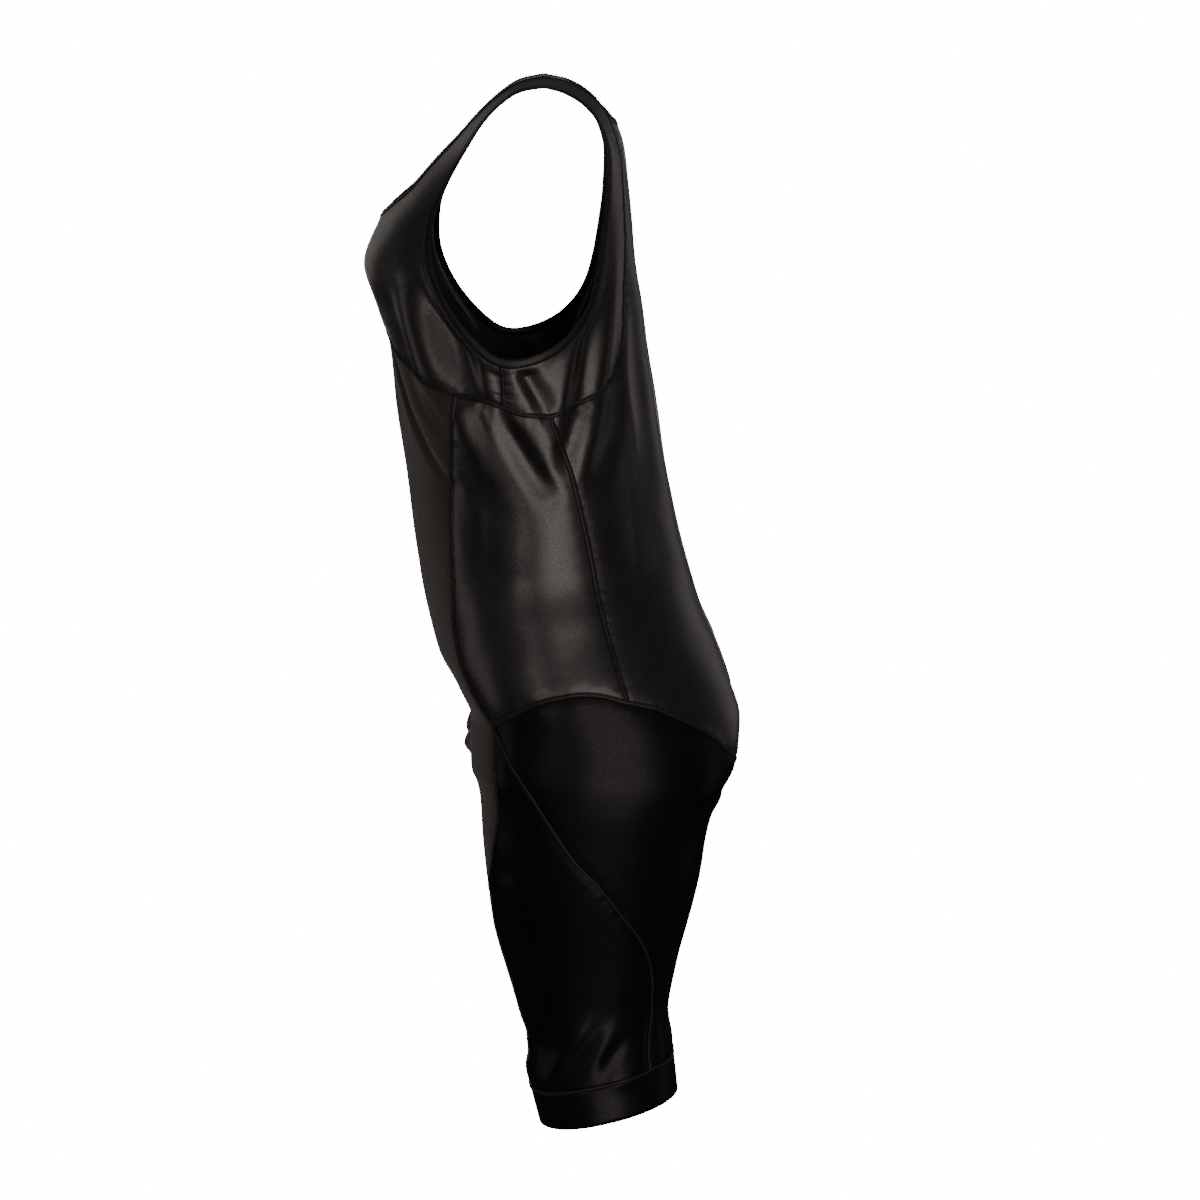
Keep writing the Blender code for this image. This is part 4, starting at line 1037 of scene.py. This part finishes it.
def run_of(segments, count):
    """Points along some seams in a row, with a point at every corner between them."""
    lengths = [length_of(segment) for segment in segments]
    if sum(lengths) == 0:
        return np.repeat(segments[0][:1], count + 1, axis=0)
    shares = np.cumsum([0] + lengths) / sum(lengths)
    marks = np.round(shares * count).astype(int)
    runs = [spaced(segment, max(1, last - first))[:-1]
            for segment, first, last in zip(segments, marks, marks[1:])]
    return np.vstack(runs + [segments[-1][-1:]])


def coons(flat_map, left, right, bottom, top):
    """Points of a patch, as rows from bottom to top, in the flat map."""
    left, right, bottom, top = (flat_map.flatten(run) for run in (left, right, bottom, top))
    t = np.linspace(0, 1, len(left))[:, None, None]
    s = np.linspace(0, 1, len(bottom))[None, :, None]
    across = (1 - t) * bottom[None] + t * top[None]
    up = (1 - s) * left[:, None] + s * right[:, None]
    corners = ((1 - t) * (1 - s) * bottom[0] + (1 - t) * s * bottom[-1]
               + t * (1 - s) * top[0] + t * s * top[-1])
    return across + up - corners


def lay_patch(flat_map, flat, edges):
    """Put a flat patch on the figure, keeping its edges exactly on the seams."""
    rows, columns = flat.shape[:2]
    laid = flat_map.lay(flat.reshape(-1, 2)).reshape(rows, columns, 3)
    for where, run in edges.items():
        if where == "left":
            laid[:, 0] = run
        elif where == "right":
            laid[:, -1] = run
        elif where == "bottom":
            laid[0] = run
        else:
            laid[-1] = run
    return laid


def off_the_middle(laid):
    """Keep the columns beside the suit's middle in order, so that none crosses to the other half."""
    for beside_edge in (laid[:, :MIDDLE_COLUMNS], laid[:, ::-1][:, :MIDDLE_COLUMNS]):
        rows = np.abs(beside_edge[:, 0, 0]) < 1e-6
        ramp = MIDDLE_STEP * np.arange(beside_edge.shape[1])
        beside_edge[rows, :, 0] = np.maximum.accumulate(beside_edge[rows, :, 0] - ramp, axis=1) + ramp


def four_sided(flat_map, left, right, bottom, top, cell=CELL):
    """A patch between runs of seams, each given from bottom or left."""
    rows = round(max(sum(map(length_of, left)), sum(map(length_of, right))) / cell)
    columns = round(max(sum(map(length_of, bottom)), sum(map(length_of, top))) / cell)
    left, right = run_of(left, rows), run_of(right, rows)
    bottom = run_of(bottom, columns)
    top = run_of(top, columns)
    flat = coons(flat_map, left, right, bottom, top)
    laid = lay_patch(flat_map, flat, {"bottom": bottom, "top": top, "left": left, "right": right})
    off_the_middle(laid)
    return flat, laid


def stay(point, count=2):
    """A side that has shrunk to one point."""
    return [np.repeat(point[None], count, axis=0)]


def lay_cloth(name, patches, sides, cloth, wall=CLOTH_WALL, lift=CLOTH_LIFT, back="lining"):
    """Make one sheet from patches of the left half, on one side or on both."""
    bm = bmesh.new()
    cut = bm.loops.layers.uv.new("cut")
    for side in sides:
        for flat, laid in patches:
            rows, columns = laid.shape[0] - 1, laid.shape[1] - 1
            points = crease(laid.reshape(-1, 3), side)
            points += lift * FIGURE_FORM.normal(laid.reshape(-1, 3))
            points[np.abs(laid.reshape(-1, 3)[:, 0]) < 1e-6, 0] = 0
            points = (points * (side, 1, 1)).reshape(laid.shape)
            made = bmesh.ops.create_grid(bm, x_segments=columns, y_segments=rows, size=0.5)
            spot = {}
            for vert in made["verts"]:
                column, row = round((vert.co.x + 0.5) * columns), round((vert.co.y + 0.5) * rows)
                spot[vert] = flat[row, column]
                vert.co = points[row, column]
            faces = {face for vert in made["verts"] for face in vert.link_faces}
            for face in faces:
                face.smooth = True
                for loop in face.loops:
                    loop[cut].uv = spot[loop.vert] * 10
            if side < 0:
                bmesh.ops.reverse_faces(bm, faces=list(faces))
    bmesh.ops.remove_doubles(bm, verts=bm.verts, dist=0.01 * MM)
    mesh = bpy.data.meshes.new(name)
    bm.to_mesh(mesh)
    bm.free()
    mesh.materials.append(FINISH[cloth])
    mesh.materials.append(FINISH[back])
    piece = bpy.data.objects.new(name, mesh)
    bpy.context.scene.collection.objects.link(piece)
    solid = piece.modifiers.new("wall", "SOLIDIFY")
    solid.thickness = wall
    solid.offset = -1
    solid.material_offset = 1
    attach(piece, "root")
    print(name, "cells:", len(mesh.polygons))
    return piece


# %% [markdown]
# ### Side panels
#
# The side panel is the simplest: the under-bust seam above, the princess seam in front, the side
# seam behind and the hip seam below.

# %% Side panels
side_patch = four_sided(
    RoundMap(SIDE_RADIUS, FRONT_TURNS),
    left=[LINES["princess"][::-1]],
    right=[LINES["side"][::-1]],
    bottom=[LINES["hip_side"]],
    top=[LINES["underbust_side"], LINES["underarm_to_side"]],
)
side_cloth = {}
for word, side in (("left", 1), ("right", -1)):
    side_cloth[word] = lay_cloth(f"side_cloth_{word}", [side_patch], [side], "coated")

# %% [markdown]
# ### Matte front inset
#
# The inset starts wide under the bust, narrows over the belly and passes between the legs,
# where each half ends in a long tip on the inner thigh. So the lower side of the patch is
# a single point.

# %% Front inset
INSET_CELL = 2.6 * MM
front_patch = four_sided(
    RoundMap(FRONT_RADIUS, FRONT_TURNS),
    left=[LINES["inseam_upper"][::-1], LINES["crotch"][::-1], LINES["front_centre"][::-1]],
    right=[LINES["inset"][::-1], LINES["princess"][::-1]],
    bottom=stay(LINES["inset"][-1]),
    top=[LINES["underbust_front"]],
    cell=INSET_CELL,
)
front_cloth = lay_cloth("front_cloth", [front_patch], [1, -1], "matte")

# %% [markdown]
# ### Back
#
# The back runs from the neck to the seat in one piece. Its lower side is the hip seam, which
# drops round the seat to the inner thigh.

# %% Back panel
back_patch = four_sided(
    RoundMap(BACK_RADIUS, BACK_TURNS),
    left=[LINES["side"][::-1], LINES["side_to_back"], LINES["back_seam"][::-1]],
    right=[LINES["back_centre"][::-1]],
    bottom=[LINES["hip_back"], LINES["crotch"][::-1]],
    top=[LINES["back_neck"]],
)
back_cloth = lay_cloth("back_cloth", [back_patch], [1, -1], "coated")

# %% [markdown]
# ### Legs
#
# Each leg has two panels. The thigh panel wraps the back and the outside. The leg panel starts
# as a point on the hip, where three seams meet, and widens to the front of the hem.

# %% Thigh and leg panels
thigh_patch = four_sided(
    RoundMap(LEG_RADIUS, BACK_TURNS),
    left=[LINES["thigh"][::-1]],
    right=[LINES["inseam_lower"][::-1], LINES["inseam_upper"][::-1]],
    bottom=[LINES["band_back"]],
    top=[LINES["hip_side"], LINES["hip_back"]],
)
leg_patch = four_sided(
    RoundMap(LEG_RADIUS, FRONT_TURNS),
    left=[LINES["inseam_lower"][::-1], LINES["inset"][::-1]],
    right=[LINES["thigh"][::-1]],
    bottom=[LINES["band_front"]],
    top=stay(LINES["thigh"][0]),
)
thigh_cloth, leg_cloth = {}, {}
for word, side in (("left", 1), ("right", -1)):
    thigh_cloth[word] = lay_cloth(f"thigh_cloth_{word}", [thigh_patch], [side], "leg")
    leg_cloth[word] = lay_cloth(f"leg_cloth_{word}", [leg_patch], [side], "leg")

# %% [markdown]
# ### Yoke
#
# The yoke is a ring of cloth round each armhole. Its grid is a ring too: spokes run from the
# armhole out to the neck, the centre, the under-bust seam and the back seam.

# %% Yoke
ARM_MAP = ArmMap()


def turn_of(flat):
    """Direction of flat points about the arm's axis."""
    return np.arctan2(flat[:, 1], flat[:, 0])


def yoke_rings():
    outer = run_of([LINES["underbust_side"][::-1], LINES["underbust_front"][::-1], LINES["yoke_centre"],
                    LINES["yoke_neck"], LINES["back_seam"], LINES["side_to_back"][::-1],
                    LINES["underarm_to_side"][::-1]], 250)
    edge = np.vstack([LINES["armhole_sewn"], LINES["armhole_sewn"][:1]])
    edge = spaced(edge, 2000)
    flat_edge, flat_outer = ARM_MAP.flatten(edge), ARM_MAP.flatten(outer)
    edge_turn, outer_turn = np.unwrap(turn_of(flat_edge)), np.unwrap(turn_of(flat_outer))
    if edge_turn[-1] < edge_turn[0]:
        edge_turn, flat_edge = edge_turn[::-1], flat_edge[::-1]
    low = edge_turn[0]
    wanted = low + (outer_turn - low) % (2 * math.pi)
    inner = np.stack([np.interp(wanted, edge_turn, flat_edge[:, axis]) for axis in range(2)], 1)
    return inner, flat_outer, outer


def yoke_patch(rows=42):
    inner, flat_outer, outer = yoke_rings()
    t = np.linspace(0, 1, rows + 1)[:, None, None]
    flat = (1 - t) * inner[None] + t * flat_outer[None]
    flat[:, -1] = flat[:, 0]
    laid = lay_patch(ARM_MAP, flat, {"top": outer})
    laid[-1, -1] = laid[-1, 0]
    return flat, laid


yoke_cloth = lay_cloth("yoke_cloth", [yoke_patch()], [1, -1], "coated")

# %% [markdown]
# ### Hem bands
#
# A doubled band closes each leg, and the folds above it show how it grips. Its grid is a ring
# between the hem and the seam, with more rows between them.

# %% Hem bands
BAND_ROWS = 9


def ring_patch(lines, rows):
    """A closed ring between lines that run round it, the first one lowest."""
    lines = [np.vstack([line, line[:1]]) for line in lines]
    laid, marks = [], np.linspace(0, len(lines) - 1, rows + 1)
    for mark in marks:
        low = min(int(mark), len(lines) - 2)
        laid.append(lines[low] + (mark - low) * (lines[low + 1] - lines[low]))
    laid = np.array(laid)
    lengths = np.concatenate([[0], np.cumsum(np.linalg.norm(np.diff(laid[0], axis=0), axis=1))])
    rise = np.linalg.norm(lines[-1][0] - lines[0][0]) * marks / marks[-1]
    flat = np.stack(np.broadcast_arrays(lengths[None, :], rise[:, None]), -1)
    return flat, laid


sewn_ring = np.vstack([LINES["band_front"], LINES["band_back"][1:-1]])
band_patch = ring_patch([LINES["hem"], (LINES["hem"] + sewn_ring) / 2, sewn_ring], BAND_ROWS)
band_cloth = {}
for word, side in (("left", 1), ("right", -1)):
    band_cloth[word] = lay_cloth(f"band_cloth_{word}", [band_patch], [side], "leg", wall=1.6 * MM, back="leg")

# %% [markdown]
# ### Bound edges
#
# The armholes and the neck are bound: a strip is folded over the raw edge and held by a twin
# needle. The strip is a flat tube, so its grid closes on itself across the strip, and also
# along it at the armholes. The neck's strip runs from one middle of the suit to the other.

# %% Bound edges
BINDING_THICKNESS = 1.7 * MM
TUBE_SIDES = 12


def tube_patch(inner, outer, thickness, closed):
    """A flat tube between two lines that run side by side on the figure."""
    middle, half = (inner + outer) / 2, (outer - inner) / 2
    outward = FIGURE_FORM.normal(snap(middle))
    laid = []
    for turn in np.linspace(0, 2 * math.pi, TUBE_SIDES + 1):
        flatter = abs(math.cos(turn)) ** 0.7 * math.copysign(1, math.cos(turn))
        laid.append(middle + half * flatter + outward * (thickness / 2 * math.sin(turn)))
    laid = np.array(laid)
    if closed:
        laid = np.concatenate([laid, laid[:, :1]], axis=1)
    return laid


def lay_tube(name, laid, sides):
    """Make a tube piece; its cloth moves with the cloth beneath it."""
    bm = bmesh.new()
    rows, columns = laid.shape[0] - 1, laid.shape[1] - 1
    middle = snap(laid[:-1].mean(0))
    for side in sides:
        shift = crease(middle, side) - middle
        points = (laid + shift[None]) * (side, 1, 1)
        made = bmesh.ops.create_grid(bm, x_segments=columns, y_segments=rows, size=0.5)
        for vert in made["verts"]:
            column, row = round((vert.co.x + 0.5) * columns), round((vert.co.y + 0.5) * rows)
            vert.co = points[row, column]
    bmesh.ops.remove_doubles(bm, verts=bm.verts, dist=0.01 * MM)
    bmesh.ops.recalc_face_normals(bm, faces=bm.faces)
    for face in bm.faces:
        face.smooth = True
    mesh = bpy.data.meshes.new(name)
    bm.to_mesh(mesh)
    bm.free()
    mesh.materials.append(FINISH["binding"])
    piece = bpy.data.objects.new(name, mesh)
    bpy.context.scene.collection.objects.link(piece)
    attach(piece, "root")
    print(name, "faces:", len(mesh.polygons))
    return piece


armhole_tube = tube_patch(LINES["armhole_sewn"], LINES["armhole_edge"], BINDING_THICKNESS, closed=True)
for word, side in (("left", 1), ("right", -1)):
    lay_tube(f"armhole_edge_{word}", armhole_tube, [side])
neck_tube = tube_patch(LINES["neck_sewn"], LINES["neck_edge"], BINDING_THICKNESS, closed=False)
neck_tube[:, [0, -1], 0] = 0
neck_cloth = lay_tube("neck_edge_cloth", neck_tube, [1, -1])

# %% [markdown]
# ## Sewing
#
# Flat seams lie on the cloth as narrow raised bands. Two needle rows run along each, and a
# looper thread crosses between them. The band is a low grid with a crowned top. Each stitch is
# a small stretched ball, because at this size a ball reads as thread.

# %% Bands along the seams
SEAM_BAND_COLUMNS = ("seams in a row", "half width", "height")
SEAM_BANDS = (
    (("underbust_front",), 1.8, 0.5),
    (("underbust_side", "underarm_to_side", "side_to_back"), 2.2, 0.75),
    (("back_seam",), 1.2, 0.35),
    (("underarm",), 2.2, 0.7),
    (("princess",), 2.0, 0.6),
    (("side",), 2.2, 0.7),
    (("hip_side", "hip_back"), 2.2, 0.75),
    (("inset",), 1.3, 0.45),
    (("thigh",), 1.4, 0.5),
    (("band_front", "band_back"), 1.5, 0.5),
)
BAND_CELL = 2.5 * MM


def beside(run, across, lift, side):
    """Places on the cloth a little to one side of a run, and above it."""
    outward = FIGURE_FORM.normal(run)
    heading = np.gradient(run, axis=0)
    sideways = np.cross(outward, heading)
    sideways /= np.linalg.norm(sideways, axis=1, keepdims=True)
    place = snap(run + sideways * np.reshape(across, (-1, 1)))
    return crease(place, side) + (CLOTH_LIFT + np.reshape(lift, (-1, 1))) * outward


def joined(names):
    return np.vstack([LINES[names[0]]] + [LINES[name][1:] for name in names[1:]])


def add_band(bm, run, half_width, height, side):
    """One raised band, from five rows of points across it."""
    columns = max(2, round(length_of(run) / BAND_CELL))
    run = spaced(run, columns)
    shares = (-1, -0.8, 0, 0.8, 1)
    lifts = (-0.3, height, height * 1.15, height, -0.3)
    rows = [beside(run, share * half_width * MM, lift * MM, side) for share, lift in zip(shares, lifts)]
    points = np.array(rows) * (side, 1, 1)
    made = bmesh.ops.create_grid(bm, x_segments=columns, y_segments=len(rows) - 1, size=0.5)
    for vert in made["verts"]:
        column, row = round((vert.co.x + 0.5) * columns), round((vert.co.y + 0.5) * (len(rows) - 1))
        vert.co = points[row, column]
    faces = {face for vert in made["verts"] for face in vert.link_faces}
    for face in faces:
        face.smooth = True
    if side < 0:
        bmesh.ops.reverse_faces(bm, faces=list(faces))


def add_piece(name, bm, finish):
    mesh = bpy.data.meshes.new(name)
    bm.to_mesh(mesh)
    bm.free()
    mesh.materials.append(FINISH[finish])
    piece = bpy.data.objects.new(name, mesh)
    bpy.context.scene.collection.objects.link(piece)
    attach(piece, "root")
    print(name, "faces:", len(mesh.polygons))
    return piece


for word, side in (("left", 1), ("right", -1)):
    bm = bmesh.new()
    for names, half_width, height in SEAM_BANDS:
        add_band(bm, joined(names), half_width, height, side)
    add_piece(f"flat_seams_{word}", bm, "binding")

# %% Stitches
STITCH_PITCH = 2.8 * MM
STITCH_LENGTH = 2.3 * MM
THREAD = 0.26 * MM
NEEDLE_ROW = 0.62


def add_stitches(bm, starts, ends, lifts):
    """Small balls stretched from the start to the end of each stitch."""
    for start, end, up in zip(starts, ends, lifts):
        middle, reach = (start + end) / 2, (end - start) / 2
        x_axis = Vector(reach)
        y_axis = Vector(up).cross(x_axis).normalized() * THREAD
        z_axis = x_axis.cross(y_axis).normalized() * THREAD
        place = Matrix((x_axis * 1.05, y_axis, z_axis)).transposed().to_4x4()
        place.translation = Vector(middle)
        bmesh.ops.create_icosphere(bm, subdivisions=1, radius=1, matrix=place)


def stitched(run, across, lift, side, cross=0.0):
    """Start, end and upward direction of every stitch beside a run."""
    count = max(1, round(length_of(run) / STITCH_PITCH))
    stations = spaced(run, count * 2)
    outward = FIGURE_FORM.normal(stations) * (side, 1, 1)
    if cross:
        one = beside(stations, across, lift, side) * (side, 1, 1)
        other = beside(stations, -across, lift, side) * (side, 1, 1)
        starts = np.vstack([one[0:-1:2], other[1::2]])
        ends = np.vstack([other[1::2], one[2::2]])
        return starts, ends, np.vstack([outward[0:-1:2], outward[1::2]])
    row = beside(stations, across, lift, side) * (side, 1, 1)
    starts, ends = row[0:-1:2], row[2::2]
    shrink = (1 - STITCH_LENGTH / STITCH_PITCH) / 2 * (ends - starts)
    return starts + shrink, ends - shrink, outward[0:-1:2]


def join_into(target, source):
    """Add one bmesh to another through a mesh."""
    mesh = bpy.data.meshes.new("stitches to join")
    source.to_mesh(mesh)
    source.free()
    target.from_mesh(mesh)
    bpy.data.meshes.remove(mesh)


for word, side in (("left", 1), ("right", -1)):
    whole = bmesh.new()
    for names, half_width, height in SEAM_BANDS:
        run = joined(names)
        lift = (height * 1.1 + 0.1) * MM
        for across, cross in ((NEEDLE_ROW, 0), (-NEEDLE_ROW, 0), (NEEDLE_ROW, 1)):
            bm = bmesh.new()
            add_stitches(bm, *stitched(run, across * half_width * MM, lift, side, cross))
            join_into(whole, bm)
    for face in whole.faces:
        face.smooth = True
    add_piece(f"seam_threads_{word}", whole, "thread")

# %% [markdown]
# The bound edges carry two plain needle rows each, just under four millimetres apart.

# %% Stitches of the bound edges
EDGE_ROWS = (0.25, 0.8)
BOUND_EDGES = (("armhole_sewn", "armhole_edge", True), ("neck_sewn", "neck_edge", False))


def edge_rows(inner, outer, share, side, closed):
    """One needle row along a bound edge, a share of the way across it."""
    run = snap(inner + share * (outer - inner))
    if closed:
        run = np.vstack([run, run[:1]])
    return stitched(run, 0.0, BINDING_THICKNESS / 2 - 0.1 * MM, side)


whole = bmesh.new()
for side in (1, -1):
    for share in EDGE_ROWS:
        for inner, outer, closed in BOUND_EDGES:
            bm = bmesh.new()
            add_stitches(bm, *edge_rows(LINES[inner], LINES[outer], share, side, closed))
            join_into(whole, bm)
for face in whole.faces:
    face.smooth = True
add_piece("edge_threads", whole, "thread")

# %% [markdown]
# ## What each piece stands for
#
# The table gives every sheet the solid that it replaces, its finish in the record, and its flat size. The
# code only hides the solids.
# The sizes are those of the pieces as worn, because how far the cloth is stretched isn't
# known. The area says how much of that rectangle is cloth.

# %% Sheets and the solids they replace
SHEET_COLUMNS = ("piece", "solid", "slot", "flat width", "flat length", "flat area")
SHEETS = [
    (yoke_cloth, "yoke", "coated_cloth", 0.50, 0.42, 0.078),
    (back_cloth, "back_panel", "coated_cloth", 0.40, 0.64, 0.150),
    (front_cloth, "front_panel", "matte_cloth", 0.44, 0.56, 0.132),
]
for word in ("left", "right"):
    SHEETS += [
        (side_cloth[word], f"side_panel_{word}", "coated_cloth", 0.14, 0.30, 0.030),
        (thigh_cloth[word], f"thigh_panel_{word}", "leg_cloth", 0.32, 0.36, 0.067),
        (leg_cloth[word], f"leg_panel_{word}", "leg_cloth", 0.25, 0.36, 0.048),
        (band_cloth[word], f"hem_band_{word}", "leg_cloth", 0.385, 0.033, 0.012),
    ]

for piece, node, slot, width, length, area in SHEETS:
    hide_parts(node)
for word in ("left", "right"):
    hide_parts(f"armhole_binding_{word}")
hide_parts("neck_binding")
print("sheets:", len(SHEETS))
